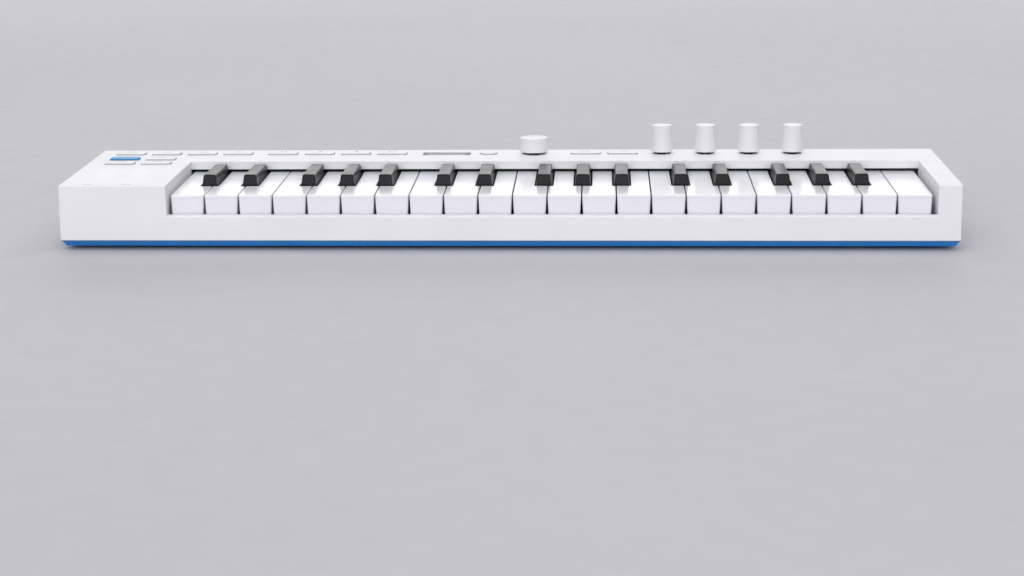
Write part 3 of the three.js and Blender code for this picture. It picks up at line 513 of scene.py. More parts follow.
MACRO_KNOBS = [f"macro_knob_{i}" for i in range(1, 5)]
TOP_ROW = [f"{kind}_button_{i}" for kind, last in (("function", 4), ("transport", 4), ("mode", 2))
           for i in range(1, last + 1)]
BUTTONS = {name: centre_of(name) for name in [*TOP_ROW, "shift_button"]}
SHIFT_X, SHIFT_Y = BUTTONS["shift_button"]
BUTTON_PITCH = BUTTONS["function_button_2"][0] - BUTTONS["function_button_1"][0]
ROW_PITCH = 18
CLUSTER = [
    (SHIFT_X + BUTTON_PITCH, SHIFT_Y),
    (SHIFT_X, SHIFT_Y - ROW_PITCH),
    (SHIFT_X + BUTTON_PITCH, SHIFT_Y - ROW_PITCH),
]
MACRO_CENTRES = {name: centre_of(name) for name in MACRO_KNOBS}
ENCODER_X = centre_of("encoder_knob")[0]
ROUND_X = centre_of("round_button")[0]
SLIDER_X = centre_of("power_switch")[0]


# ---- Camera ----

def make_camera():
    eye = Vector((61.2, -1526.0, 295.0)) * MM
    yaw, pitch, roll = math.radians(4.411), math.radians(12.376), math.radians(-0.821)
    level = Vector((math.cos(yaw), math.sin(yaw), 0))
    forward = Vector((-math.sin(yaw) * math.cos(pitch), math.cos(yaw) * math.cos(pitch), -math.sin(pitch)))
    upright = level.cross(forward)
    right = math.cos(roll) * level + math.sin(roll) * upright
    up = math.cos(roll) * upright - math.sin(roll) * level
    camera = bpy.data.objects.new("camera", bpy.data.cameras.new("camera"))
    camera.data.sensor_width = 36
    camera.data.lens = 81.19
    camera.data.shift_x = 0.0841
    camera.data.clip_start = 0.05
    camera.data.clip_end = 40
    camera.matrix_world = Matrix.Translation(eye) @ Matrix((right, up, -forward)).transposed().to_4x4()
    SCENE.collection.objects.link(camera)
    SCENE.camera = camera


make_camera()


# ---- What is printed on the rear face ----

REAR_DIVIDERS = (-48.4, -96.2, -118.8, -153, -204.4)
MINI_JACK_ARROW_Z = 23.6
PHONE_JACK_ARROW_Z = 26.6
DIN_ARROW_Z = 34.6


def rear_marks():
    """The outlines printed on the rear face: lines between the sockets, arrows for in and out."""
    marks = [bar(x, 24.5, 0.45, 31) for x in REAR_DIVIDERS]
    for x in (*MINI_JACKS[:4], MINI_JACKS[5], DIN_SOCKETS[1]):
        z = MINI_JACK_ARROW_Z if x in MINI_JACKS else DIN_ARROW_Z
        marks.append([(x - 1.1, z - 0.8), (x + 1.1, z - 0.8), (x, z + 1)])
    inputs = [(PHONE_JACK[0], PHONE_JACK_ARROW_Z), (MINI_JACKS[4], MINI_JACK_ARROW_Z)]
    for x, z in [*inputs, (DIN_SOCKETS[0], DIN_ARROW_Z)]:
        marks.append([(x - 1.1, z + 0.8), (x, z - 1), (x + 1.1, z + 0.8)])
    marks.append(bar(USB[0], 17.6, 4, 0.5))
    marks.append(bar(USB[0], 18.6, 4, 0.5))
    return marks


def power_symbol(low, high):
    """A ring and a bar over the power switch."""
    x, z = POWER_SLOT_X, 20.6
    ring = hoop(x, z, [(1.6, low), (1.6, high), (1.25, high), (1.25, low)], 32)
    return [ring, stack([(bar(x, z + 0.2, 0.35, 1.3), low), (bar(x, z + 0.2, 0.35, 1.3), high)], "y")]


# ---- White upper shell ----

def make_shell():
    outside = rectangle(0, 0, 2 * SIDE_X, 2 * REAR_Y, 1.0)
    shell = solid(stack([
        (outside(-FOOT_EDGE), SHELL_BOTTOM),
        (outside(), SHELL_BOTTOM + FOOT_EDGE),
        *top_edge(outside, BODY_TOP, TOP_EDGE, 4),
    ]), "top_case")
    cut(shell, well_cutter(), front_cutter(), *inside_cutters())
    join(shell, *(lathe(x, y, [(3.2, 8.5), (3.2, PANEL_UNDERSIDE + CUT)], 24) for x, y in BOSSES))
    cut(shell, merged([lathe(x, y, [(1.3, 8), (1.3, 28)], 16) for x, y in BOSSES]))
    cut(shell, merged(panel_cutters()), merged(rear_cutters()))
    finish_piece(shell, "shell", "case", SHELL_WHITE, "white_shell", ["top_case"])


BOSSES = [(-280.5, -64.5), (-280.5, 64.5), (-228, -64.5), (280.5, -64.5), (280.5, 64.5), (240, 64.5)]


def well_cutter():
    """The well seen from above: its side and rear edges round over at the top."""
    def outline(grow=0.0):
        left, right, rear = WELL_LEFT - grow, WELL_RIGHT + grow, WELL_REAR + grow
        return [(left, -REAR_Y - 5), (right, -REAR_Y - 5), (right, rear), (left, rear)]
    return stack(flared(outline, LIP_TOP, BODY_TOP, 0.5))


def front_cutter():
    """The well seen from the front: its upright edges and the lip round over at the front face."""
    def outline(grow=0.0):
        left, right, low = WELL_LEFT - 0.5 * grow, WELL_RIGHT + 0.5 * grow, LIP_TOP - grow
        return [(left, low), (right, low), (right, BODY_TOP + 5), (left, BODY_TOP + 5)]
    return stack(flared(outline, -REAR_Y + 3, -REAR_Y, LIP_EDGE, -1, 4), "y")


def inside_cutters():
    """What leaves the walls: three boxes round the well as one U, then the well's own underside."""
    far_x, far_y = SIDE_X - WALL, REAR_Y - WALL
    left, right, rear = WELL_LEFT - WALL, WELL_RIGHT + WALL, WELL_REAR + WALL
    low = SHELL_BOTTOM - CUT
    around = [
        (-far_x, -far_y), (left, -far_y), (left, rear), (right, rear),
        (right, -far_y), (far_x, -far_y), (far_x, far_y), (-far_x, far_y),
    ]
    lip_inner = -REAR_Y + LIP_DEPTH
    return [
        stack([(around, low), (around, PANEL_UNDERSIDE)]),
        block(WELL_LEFT, WELL_RIGHT, lip_inner, WELL_REAR, low, LIP_TOP + CUT),
        block(WELL_LEFT, WELL_RIGHT, -far_y, lip_inner - WALL, low, LIP_TOP - WALL),
        block(left - CUT, right + CUT, -far_y, rear + CUT, low, WELL_WALL_BOTTOM),
        block(WELL_LEFT, WELL_RIGHT, WELL_REAR - CUT, rear + CUT, low, WELL_REAR_WALL_BOTTOM),
    ]


def panel_cutters():
    low = PANEL_UNDERSIDE - CUT
    holes = [(rectangle(x, y, 20.6, 10.1, 1.3), 0.2) for x, y in [*BUTTONS.values(), *CLUSTER]]
    holes += [(circle(x, y, MACRO_HOLE, 48), 0.35) for x, y in MACRO_CENTRES.values()]
    holes.append((circle(ENCODER_X, CONTROL_Y, ENCODER_HOLE, 56), 0.35))
    holes.append((circle(ROUND_X, CONTROL_Y, 6.4, 48), 0.2))
    holes.append((rectangle(DISPLAY_X, CONTROL_Y, DISPLAY_WIDTH, DISPLAY_DEPTH, 0.8), 0.25))
    cutters = [stack(flared(outline, low, BODY_TOP, rim)) for outline, rim in holes]
    middle, length = (STRIP_FRONT + STRIP_REAR) / 2, STRIP_REAR - STRIP_FRONT
    for x in STRIP_COLUMNS:
        pocket = rectangle(x, middle, STRIP_WIDTH, length, 2)
        cutters.append(stack(flared(pocket, BODY_TOP - STRIP_RECESS, BODY_TOP, 0.05)))
    return cutters


def rear_cutters():
    low = REAR_Y - WALL - CUT
    holes = [circle(x, MINI_JACK_Z, 3.45, 32) for x in MINI_JACKS]
    holes.append(circle(*PHONE_JACK, 5.9, 40))
    holes += [circle(x, DIN_Z, 9.3, 56) for x in DIN_SOCKETS]
    holes.append(rectangle(*USB, 9.7, 3.7, 1.85, 8))
    holes.append(rectangle(POWER_SLOT_X, POWER_Z, 8.5, 6.1, 3.05, 10))
    holes.append(rectangle(*LOCK, 3.2, 7.6, 0.5))
    deep, outside = REAR_Y - PRINT_DEPTH, REAR_Y + CUT
    printed = [stack([(points, deep), (points, outside)], "y") for points in rear_marks()]
    printed += power_symbol(deep, outside)
    return [stack(flared(outline, low, REAR_Y, 0.2), "y") for outline in holes] + printed


make_shell()


# ---- Blue tray with its feet and screws ----

def make_tray():
    outside = rectangle(0, 0, 2 * (SIDE_X - FOOT_EDGE), 2 * (REAR_Y - FOOT_EDGE), 1.0)
    base = lambda grow=0.0: outside(grow - TRAY_SLOPE)
    tray = solid(stack([
        *bottom_edge(base, TRAY_BOTTOM, 0.5, 3),
        (outside(-0.1), TRAY_TOP - 0.1),
        (outside(-0.1), TRAY_TOP),
    ]), "tray")
    inset = FOOT_EDGE + TRAY_SLOPE + 1
    far_x, far_y = SIDE_X - inset, REAR_Y - inset
    cut(tray, block(-far_x, far_x, -far_y, far_y, TRAY_FLOOR_TOP, TRAY_TOP + CUT))
    join(tray, *(lathe(x, y, [(4.2, 4), (4.2, 8.2)], 24) for x, y in BOSSES))
    holes = [lathe(x, y, [(2.9, 1), (2.9, 5.2), (1.6, 5.2), (1.6, 9)], 28) for x, y in BOSSES]
    seats = [lathe(x, y, [(6.2, 1), (6.2, 2.7)], 40) for x, y in FEET]
    cut(tray, merged(holes), merged(seats))
    finish_piece(tray, "tray", "case", TRAY_BLUE, "blue_shell", ["bottom_case"])
    for index, (x, y) in enumerate(FEET):
        profile = [(5.2, 0), (5.7, 0.15), (6, 0.6), (6.05, 2.7)]
        piece(f"foot_{index + 1}", lathe(x, y, profile, 40), "case", RUBBER_BLACK, "rubber")
    for index, (x, y) in enumerate(BOSSES):
        screw = solid(lathe(x, y, [(2.2, 2.75), (2.6, 3), (2.6, 4.6), (1.2, 4.8), (1.2, 12), (0.6, 13)], 24))
        cut(screw, block(x - 1.5, x + 1.5, y - 0.25, y + 0.25, 2, 3.6),
            block(x - 0.25, x + 0.25, y - 1.5, y + 1.5, 2, 3.6))
        finish_piece(screw, f"case_screw_{index + 1}", "case", STEEL, "spring_steel")


FEET = [(x, y) for x in (-262, 262) for y in (-50, 50)]
make_tray()


# ---- Keys ----

BLACK_CENTRES = [(octave * WHITES_PER_OCTAVE + cell) * WHITE_PITCH
                 for octave in range(OCTAVES) for cell in BLACK_CELLS]


def bar_notch(x0, x1):
    """Room under a key for the fulcrum bar."""
    reach, low, roof = 2.1, 17, PIVOT_Z + 1.95
    profile = [
        (PIVOT_Y - reach, low), (PIVOT_Y + reach, low), (PIVOT_Y + reach, PIVOT_Z),
        (PIVOT_Y + reach / 2, roof), (PIVOT_Y - reach / 2, roof), (PIVOT_Y - reach, PIVOT_Z),
    ]
    mesh = bmesh.new()
    return closed(mesh, [[mesh.verts.new((x * MM, y * MM, z * MM)) for y, z in profile] for x in (x0, x1)])


def white_outline(index):
    """A white key from above, as a function of its side gap, front, rear and inset."""
    start = index * WHITE_PITCH
    near = [centre - start for centre in BLACK_CENTRES]
    left = [centre + SLOT_HALF for centre in near if -SLOT_HALF < centre < WHITE_PITCH / 2]
    right = [centre - SLOT_HALF for centre in near if WHITE_PITCH / 2 < centre < WHITE_PITCH + SLOT_HALF]

    def outline(gap, front, rear, inset=0.0, extra=0.0):
        low, high = gap / 2, WHITE_PITCH - gap / 2
        rear_low = left[0] + extra if left else low
        rear_high = right[0] - extra if right else high
        slot = SLOT_FRONT - extra
        corners = [(low, front, 1.5), (high, front, 1.5)]
        if right:
            corners += [(high, slot, 0.5), (rear_high, slot, 0.3)]
        corners += [(rear_high, rear, 0.2), (rear_low, rear, 0.2)]
        if left:
            corners += [(rear_low, slot, 0.3), (low, slot, 0.5)]
        return rounded(corners, -inset, 4)
    return outline


def white_key_mesh(index):
    outline = white_outline(index)
    face = KEY_FRONT + 0.4
    top_gap, low_gap = 0.7, 1.9
    lip = WHITE_TOP - 1.3
    step = lambda z: STEP_REAR - (STEP_REAR - STEP_FRONT) * (z - KEY_TAIL_TOP) / (WHITE_TOP - KEY_TAIL_TOP)
    gap = lambda z: low_gap + (top_gap - low_gap) * (z - 20) / (lip - 20)
    levels = [
        (outline(low_gap, face, -6, 0.2), 20),
        (outline(gap(20.2), face, -6), 20.2),
        (outline(gap(22), face, 23.5), 22),
        (outline(gap(22), face, KEY_REAR), 22),
        (outline(gap(KEY_TAIL_TOP), face, KEY_REAR), KEY_TAIL_TOP),
        (outline(gap(KEY_TAIL_TOP), face, STEP_REAR), KEY_TAIL_TOP),
        (outline(top_gap, face, step(lip)), lip),
        (outline(top_gap, KEY_FRONT, step(lip)), lip),
        (outline(top_gap, KEY_FRONT, step(34)), 34),
        (outline(top_gap, KEY_FRONT + 0.12, step(34.4), 0.06), 34.4),
        (outline(top_gap, KEY_FRONT + 0.4, step(34.65), 0.16), 34.65),
        (outline(top_gap, KEY_FRONT + 0.75, step(34.76), 0.3), 34.76),
        (outline(top_gap, KEY_FRONT + 1.1, STEP_FRONT, 0.45), WHITE_TOP),
    ]
    key = solid(stack(levels))
    side = 1.6
    hollow = outline(low_gap + 2 * side, face + 1.8, KEY_REAR - side, 0, side)
    front_hollow = outline(low_gap + 2 * side, face + 1.8, STEP_FRONT - 2, 0, side)
    return cut(
        key,
        stack([(hollow, 19), (hollow, KEY_CEILING)]),
        stack([(front_hollow, KEY_CEILING - CUT), (front_hollow, FRONT_CEILING)]),
        bar_notch(-CUT, WHITE_PITCH + CUT),
    )


def black_key_mesh():
    def outline(half, front, rear, inset=0.0, corner=0.5):
        corners = [(-half, front, corner), (half, front, corner), (half, rear, corner), (-half, rear, corner)]
        return rounded(corners, -inset, 4)
    front, cap_rear = -30.1, 22.3
    levels = [
        (outline(5.3, front, KEY_REAR), 24),
        (outline(5.3, front, KEY_REAR), KEY_TAIL_TOP),
        (outline(5.3, front, STEP_REAR), KEY_TAIL_TOP),
        (outline(5.3, front, STEP_FRONT), 34.6),
        (outline(5.3, front, cap_rear), 34.6),
        (outline(5.3, front, cap_rear), 34.9),
        (outline(5.0, front + 0.35, cap_rear - 0.1), 35.3),
        (outline(4.75, front + 0.65, cap_rear - 0.2), 35.9),
        (outline(4.6, front + 0.9, cap_rear - 0.3), 36.8),
        (outline(4.35, front + 1.5, 21.6), 39.4),
        (outline(4.1, front + 1.9, 21.0), 41.1),
        (outline(4.1, front + 2.0, 20.7, 0.1), 41.45),
        (outline(4.1, front + 2.15, 20.2, 0.35), 41.75),
        (outline(4.1, front + 2.4, 19.4, 0.7), 41.93),
        (outline(4.1, front + 2.7, 18.4, 1.1), 42),
    ]
    mesh = stack(levels)
    for vert in mesh.verts:  # the top falls slightly to the rear
        if vert.co.z > 36 * MM:
            share = (vert.co.z / MM - 36) / 6 * (vert.co.y / MM - front) / (cap_rear - front)
            vert.co.z -= 0.8 * MM * max(0.0, share)
    key = solid(mesh)
    hollow = block(-3.7, 3.7, front + 1.8, KEY_REAR - 1.6, 23, KEY_CEILING)
    return cut(key, hollow, bar_notch(-6.5, 6.5))


def place_key(shape, start, colour, number, finish):
    """A copy of a key's shape, moved along the keyboard by start."""
    data = shape.copy()
    data.transform(Matrix.Translation(Vector((KEYS_LEFT + start, 0, 0)) * MM))
    key = bpy.data.objects.new("key", data)
    SCENE.collection.objects.link(key)
    node = f"{colour}_key_{number:02d}"
    finish_piece(key, f"key_{colour}_{number:02d}", node, finish, f"{colour}_key", [node], 50)


def make_keys():
    shapes = {}
    for index in range(WHITE_COUNT):
        kind = index % WHITES_PER_OCTAVE if index + 1 < WHITE_COUNT else "last"
        if kind not in shapes:
            template = white_key_mesh(index)
            shapes[kind] = template.data
            bpy.data.objects.remove(template)
        place_key(shapes[kind], index * WHITE_PITCH, "white", index + 1, KEY_WHITE)
    template = black_key_mesh()
    for index, centre in enumerate(BLACK_CENTRES):
        place_key(template.data, centre, "black", index + 1, KEY_BLACK)
    bpy.data.objects.remove(template)


make_keys()


# ---- Under the keys: contact board, rubber contacts and return springs ----

KEYBED_TOP = 9.9
SPRING_Y = 31
SPRING_RADIUS = 1.5
CONTACT_Y = 5
CONTACT_BOARD_TOP = 11.1
CONTACT_STRIP_TOP = 12


def tail_middle(index):
    """The middle of a white key's narrow rear part."""
    points = white_outline(index)(1.9, 0, KEY_REAR)
    tail = [u for u, v in points if v > SPRING_Y]
    return KEYS_LEFT + index * WHITE_PITCH + (min(tail) + max(tail)) / 2


def spring(x):
    low, high, turns, steps = KEYBED_TOP + 0.35, KEY_CEILING - 0.35, 9, 10
    count = turns * steps
    path = []
    for step in range(count + 1):
        angle = 2 * math.pi * step / steps
        rise = low + (high - low) * step / count
        across, along = SPRING_RADIUS * math.cos(angle), SPRING_RADIUS * math.sin(angle)
        path.append((x + across, SPRING_Y + along, rise))
    return tube(path, 0.22, 5)


def make_under_keys():
    whites = {f"white_key_{i + 1:02d}": tail_middle(i) for i in range(WHITE_COUNT)}
    blacks = {f"black_key_{i + 1:02d}": KEYS_LEFT + centre for i, centre in enumerate(BLACK_CENTRES)}
    for name, x in {**whites, **blacks}.items():
        coil = piece(f"{name}_spring", spring(x), "case", STEEL, "spring_steel", smooth=60)
        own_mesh(coil)
    middle, length = KEYS_LEFT + WHITE_COUNT * WHITE_PITCH / 2, WHITE_COUNT * WHITE_PITCH - 3
    board = rectangle(middle, CONTACT_Y, length, 17, 0.6)
    plate = stack(slab(board, KEYBED_TOP + 0.02, CONTACT_BOARD_TOP, 0.1))
    piece("contact_board", plate, "case", BOARD, "circuit_board")
    strip = rectangle(middle, CONTACT_Y, length - 2, 13, 0.8)
    rubber = [stack(slab(strip, CONTACT_BOARD_TOP, CONTACT_STRIP_TOP, 0.3))]
    dome = [(2.7, CONTACT_STRIP_TOP), (2.5, 12.6), (1.9, 15.2), (1.8, 16.4), (1.5, 16.7)]
    rubber += [lathe(x, CONTACT_Y, dome, 20) for x in [*whites.values(), *blacks.values()]]
    piece("contact_strip", merged(rubber), "case", RUBBER_BLACK, "rubber")


make_under_keys()


# ---- Knobs ----

KNOB_LOW = 43.9
MACRO_TOP = 62.1
MACRO_INSIDE_TOP = 56.9
ENCODER_TOP = 53.7
ENCODER_INSIDE_TOP = 51.3
SHAFT_LOW = 35


def knob(name, node, x, y, skin, inside_top, steps):
    """A cap over its own inside, and the shaft that it turns on."""
    piece(f"{name}_cap", lathe(x, y, skin, steps), node, KNOB_WHITE, "white_knob", [node], 40)
    shaft = lathe(x, y, [(2.8, SHAFT_LOW), (3, SHAFT_LOW + 0.2), (3, inside_top - 0.1)], 32)
    piece(f"{name}_shaft", shaft, node, SOCKET_BLACK, "black_plastic")


def make_knobs():
    low, top = KNOB_LOW, MACRO_TOP
    skin = [
        (5.5, MACRO_INSIDE_TOP), (6, low + 0.2), (6.15, low), (7.3, low), (7.45, low + 0.2), (6.7, top - 0.9),
        (6.63, top - 0.5), (6.45, top - 0.25), (6.15, top - 0.1), (5.5, top - 0.02), (3, top),
    ]
    for name, (x, y) in MACRO_CENTRES.items():
        knob(name, name, x, y, skin, MACRO_INSIDE_TOP, 64)
    top = ENCODER_TOP
    skin = [
        (7.9, ENCODER_INSIDE_TOP), (8.1, low + 0.2), (8.3, low), (9.3, low), (9.5, low + 0.2),
        (9.5, top - 0.75), (9.42, top - 0.4), (9.2, top - 0.14), (8.8, top), (8.3, top), (7.9, top - 0.1),
        (7.4, top - 0.35), (5, top - 0.6), (2, top - 0.7),
    ]
    knob("encoder", "encoder_knob", ENCODER_X, CONTROL_Y, skin, ENCODER_INSIDE_TOP, 80)


make_knobs()


# ---- Buttons ----

def stem_outline(x, y, steps=4):
    return rectangle(x, y, STEM_SIDE, STEM_SIDE, 0.2, steps)


def cap_outline(x, y):
    return rectangle(x, y, BUTTON_WIDTH, BUTTON_DEPTH, 1)


def cap_levels(stem, flange, cap):
    """A cap's foot on its stem, with the flange that keeps it under the panel."""
    return [
        (stem(), STEM_LOW), (stem(), FLANGE_LOW), (flange(), FLANGE_LOW), (flange(), FLANGE_TOP),
        (cap(), FLANGE_TOP),
    ]


def make_buttons():
    for name, (x, y) in BUTTONS.items():
        finish, slot = BUTTON_WHITE, "white_button"
        if name == "shift_button":
            finish, slot = BUTTON_BLUE, "blue_button"
        flange, cap = rectangle(x, y, FLANGE_WIDTH, FLANGE_DEPTH, 0.4), cap_outline(x, y)
        levels = [*cap_levels(stem_outline(x, y), flange, cap), *top_edge(cap, BUTTON_TOP, 0.35, 4)]
        piece(f"{name}_cap", stack(levels), name, finish, slot, [name])


def make_cluster():
    """The three white caps round the blue one, on a common web."""
    right, front = SHIFT_X + BUTTON_PITCH + FLANGE_WIDTH / 2, SHIFT_Y - ROW_PITCH - FLANGE_DEPTH / 2
    left, middle = SHIFT_X - FLANGE_WIDTH / 2, SHIFT_Y - ROW_PITCH + FLANGE_DEPTH / 2
    rear, inner = SHIFT_Y + FLANGE_DEPTH / 2, right - FLANGE_WIDTH
    spots = [(left, front), (right, front), (right, rear), (inner, rear), (inner, middle), (left, middle)]
    web = rounded([(x, y, 0.4) for x, y in spots])
    cluster = solid(stack([(web, FLANGE_LOW), (web, FLANGE_TOP)]))
    inside = FLANGE_TOP - 0.4
    for x, y in CLUSTER:
        stem, cap = stem_outline(x, y), cap_outline(x, y)
        foot = stack([(stem(), STEM_LOW), (stem(), inside)])
        join(cluster, foot, stack([(cap(), inside), *top_edge(cap, BUTTON_TOP, 0.35, 4)]))
    node = "cluster_buttons"
    finish_piece(cluster, "cluster_caps", node, BUTTON_WHITE, "white_button", [node])


def make_round_button():
    """A dished cap. Its outlines start at the same corner as the stem's and have as many points."""
    stem = stem_outline(ROUND_X, CONTROL_Y, 11)
    flange = rectangle(ROUND_X, CONTROL_Y, 14, 14, 0.4, 11)
    turns = circle(ROUND_X, CONTROL_Y, 6.1, 48)
    cap = lambda grow=0.0: turns(grow)[30:] + turns(grow)[:30]
    levels = [
        *cap_levels(stem, flange, cap), *top_edge(cap, BUTTON_TOP, 0.5, 4),
        (cap(-2.5), BUTTON_TOP - 0.12), (cap(-4.5), BUTTON_TOP - 0.18),
    ]
    piece("round_cap", stack(levels), "round_button", BUTTON_WHITE, "white_button", ["round_button"], 40)


make_buttons()
make_cluster()
make_round_button()


# ---- Display and touch strips ----

def make_display():
    frame_outline = rectangle(DISPLAY_X, CONTROL_Y, DISPLAY_WIDTH - 0.3, DISPLAY_DEPTH - 0.3, 0.7)
    window = stack(slab(frame_outline, MODULE_TOP + 0.02, WINDOW_TOP, 0.15))
    piece("display_window", window, "case", WINDOW_GREY, "display_window")
    screen = rectangle(DISPLAY_X - 0.2, CONTROL_Y - 0.6, 26, 10.6, 0.3)
    image = stack(slab(screen, WINDOW_TOP, WINDOW_TOP + 0.05, 0.02, 1))
    piece("display_screen", image, "case", SCREEN_GREY, "display_window")


def make_strips():
    middle, length = (STRIP_FRONT + STRIP_REAR) / 2, STRIP_REAR - STRIP_FRONT
    for index, x in enumerate(STRIP_COLUMNS):
        overlay = rectangle(x, middle, STRIP_WIDTH - 0.12, length - 0.12, 1.94)
        sheet = stack(slab(overlay, BODY_TOP - STRIP_RECESS, BODY_TOP - 0.02, 0.04, 2))
        piece(f"touch_strip_{index + 1}", sheet, "case", STRIP_WHITE, "white_button")


make_display()
make_strips()


# ---- Circuit boards and what stands on them ----

BOARD_LOW = 9.3
BOARD_TOP = 10.9
BOARD_FRONT = 48
BOARD_REAR = 69.5
PANEL_LOW = 31.4
PANEL_TOP = 33
POT_TOP = 39.9
SWITCH_TOP = 34.3


def make_boards():
    main = rectangle(-155, (BOARD_FRONT + BOARD_REAR) / 2, 226, BOARD_REAR - BOARD_FRONT, 1.5)
    board = solid(stack(slab(main, BOARD_LOW, BOARD_TOP, 0.1)))
    holes = [lathe(x, 52.5, [(1.6, 8), (1.6, 12)], 20) for x in (-262, -150, -48)]
    cut(board, merged(holes))
    finish_piece(board, "main_board", "case", BOARD, "circuit_board", ["circuit_boards"])
    left, right, front, step_x, step_y = -275, 215, 6, -224, 44.2
    corners = [
        (left, front, 1), (step_x, front, 1), (step_x, step_y, 0.5),
        (right, step_y, 1), (right, BOARD_REAR, 1), (left, BOARD_REAR, 1),
    ]
    panel = lambda grow=0.0: rounded(corners, grow)
    piece("panel_board", stack(slab(panel, PANEL_LOW, PANEL_TOP, 0.1)), "case", BOARD, "circuit_board")
    header = rectangle(-209, 50.5, 18, 2.9, 0.2)
    riser = stack(slab(header, BOARD_TOP, PANEL_LOW, 0.2))
    piece("board_header", riser, "case", SOCKET_BLACK, "black_plastic")


CHIPS = [(-214, 61, 10, 10), (-245, 56, 6, 6), (-180, 53, 9, 5), (-128, 53, 7, 5), (-80, 53, 5, 4)]
CAPACITORS = [(-233, 52), (-255, 53), (-163, 53), (-100, 51), (-60, 54)]
LEG_PITCH = 1.27


def make_board_parts():
    """Chips with a row of legs on two sides, and the cans of the capacitors."""
    for index, (x, y, width, depth) in enumerate(CHIPS):
        chip = stack(slab(rectangle(x, y, width, depth, 0.2), BOARD_TOP, BOARD_TOP + 1.3, 0.15))
        piece(f"chip_{index + 1}", chip, "case", SOCKET_BLACK, "black_plastic")
        legs = []
        for side in (-1, 1):
            for leg in range(int(width / LEG_PITCH)):
                u = x - width / 2 + 0.7 + leg * LEG_PITCH
                v = y + side * (depth / 2 + 0.35)
                legs.append(block(u - 0.2, u + 0.2, v - 0.4, v + 0.4, BOARD_TOP, BOARD_TOP + 0.35))
        piece(f"chip_{index + 1}_legs", merged(legs), "case", NICKEL, "plated_metal")
    profile = [(2.5, 0), (2.5, 0.8), (2.35, 1.1), (2.5, 1.4), (2.5, 5.6), (2.3, 5.8)]
    can = [(radius, BOARD_TOP + rise) for radius, rise in profile]
    for index, (x, y) in enumerate(CAPACITORS):
        piece(f"capacitor_{index + 1}", lathe(x, y, can, 28), "case", NICKEL, "plated_metal")


def bored_body(name, x, y, width):
    """A square can on the panel board, with the bore that a knob's shaft turns in."""
    body = solid(stack(slab(rectangle(x, y, width, width, 0.6), PANEL_TOP, POT_TOP, 0.3)))
    cut(body, lathe(x, y, [(3.3, SHAFT_LOW - 0.3), (3.3, POT_TOP + 1.1)], 32))
    finish_piece(body, name, "case", STEEL, "plated_metal")


def make_panel_parts():
    places = [*BUTTONS.values(), *CLUSTER, (ROUND_X, CONTROL_Y)]
    for index, (x, y) in enumerate(places):
        body = stack(slab(rectangle(x, y, 6, 6, 0.3), PANEL_TOP, SWITCH_TOP, 0.1))
        plunger = lathe(x, y, [(1.7, SWITCH_TOP), (1.7, SWITCH_TOP + 0.2), (1.6, SWITCH_TOP + 0.3)], 24)
        piece(f"tact_switch_{index + 1}", merged([body, plunger]), "case", SOCKET_BLACK, "black_plastic")
    for name, (x, y) in MACRO_CENTRES.items():
        bored_body(f"{name}_pot", x, y, 9.8)
    bored_body("encoder_body", ENCODER_X, CONTROL_Y, 12)
    module = stack(slab(rectangle(DISPLAY_X, CONTROL_Y, 35.8, 16.3, 0.5), PANEL_TOP, MODULE_TOP, 0.3))
    piece("display_module", module, "case", SOCKET_GREY, "black_plastic")


make_boards()
make_board_parts()
make_panel_parts()


# ---- Rear sockets ----

SOCKET_FACE = 70.65
RECESSED_FACE = REAR_Y - 0.4
RING_EDGE = REAR_Y - 0.2
BEYOND_REAR = 75


def housing(x, width, depth, top):
    """A socket's black block on the main board, with softened edges."""
    face = rectangle(x, SOCKET_FACE - depth / 2, width, depth, 0.4)
    return solid(stack(slab(face, BOARD_TOP, top, 0.3)))


def make_jacks():
    for index, x in enumerate(MINI_JACKS):
        name, z = f"mini_jack_{index + 1}", MINI_JACK_Z
        body = housing(x, 8.6, 12, z + 4.2)
        cut(body, lathe(x, z, [(2.05, SOCKET_FACE - 10), (2.05, BEYOND_REAR)], 32, "y"))
        finish_piece(body, f"{name}_body", "case", SOCKET_BLACK, "black_plastic")
        ring = [
            (3.15, SOCKET_FACE), (3.15, RING_EDGE), (3.0, REAR_Y), (2.3, REAR_Y),
            (2.0, REAR_Y - 0.3), (1.85, REAR_Y - 0.85), (1.85, SOCKET_FACE),
        ]
        piece(f"{name}_ring", hoop(x, z, ring, 40), "case", NICKEL, "plated_metal", smooth=40)
        leaf = block(x - 0.7, x + 0.7, 63, 70.2, z - 2.0, z - 1.55)
        piece(f"{name}_contact", leaf, "case", NICKEL, "plated_metal")
    x, z = PHONE_JACK
    body = housing(x, 15, 22, z + 7)
    cut(body, lathe(x, z, [(3.6, SOCKET_FACE - 20), (3.6, BEYOND_REAR)], 40, "y"))
    finish_piece(body, "phone_jack_body", "case", SOCKET_BLACK, "black_plastic")
    outer = [
        (5.6, SOCKET_FACE), (5.6, RING_EDGE), (5.45, REAR_Y), (4.75, REAR_Y),
        (4.65, REAR_Y - 0.15), (4.65, SOCKET_FACE),
    ]
    piece("phone_jack_nozzle", hoop(x, z, outer, 56), "case", SOCKET_BLACK, "black_plastic", smooth=40)
    inner = [
        (4.6, SOCKET_FACE), (4.6, RING_EDGE - 0.1), (4.5, RING_EDGE), (3.55, RING_EDGE),
        (3.35, RING_EDGE - 0.25), (3.3, SOCKET_FACE),
    ]
    piece("phone_jack_ring", hoop(x, z, inner, 56), "case", BRASS, "brass_ring", smooth=40)
    leaf = block(x - 1.2, x + 1.2, 54, 69.5, z - 3.5, z - 2.9)
    piece("phone_jack_contact", leaf, "case", NICKEL, "plated_metal")


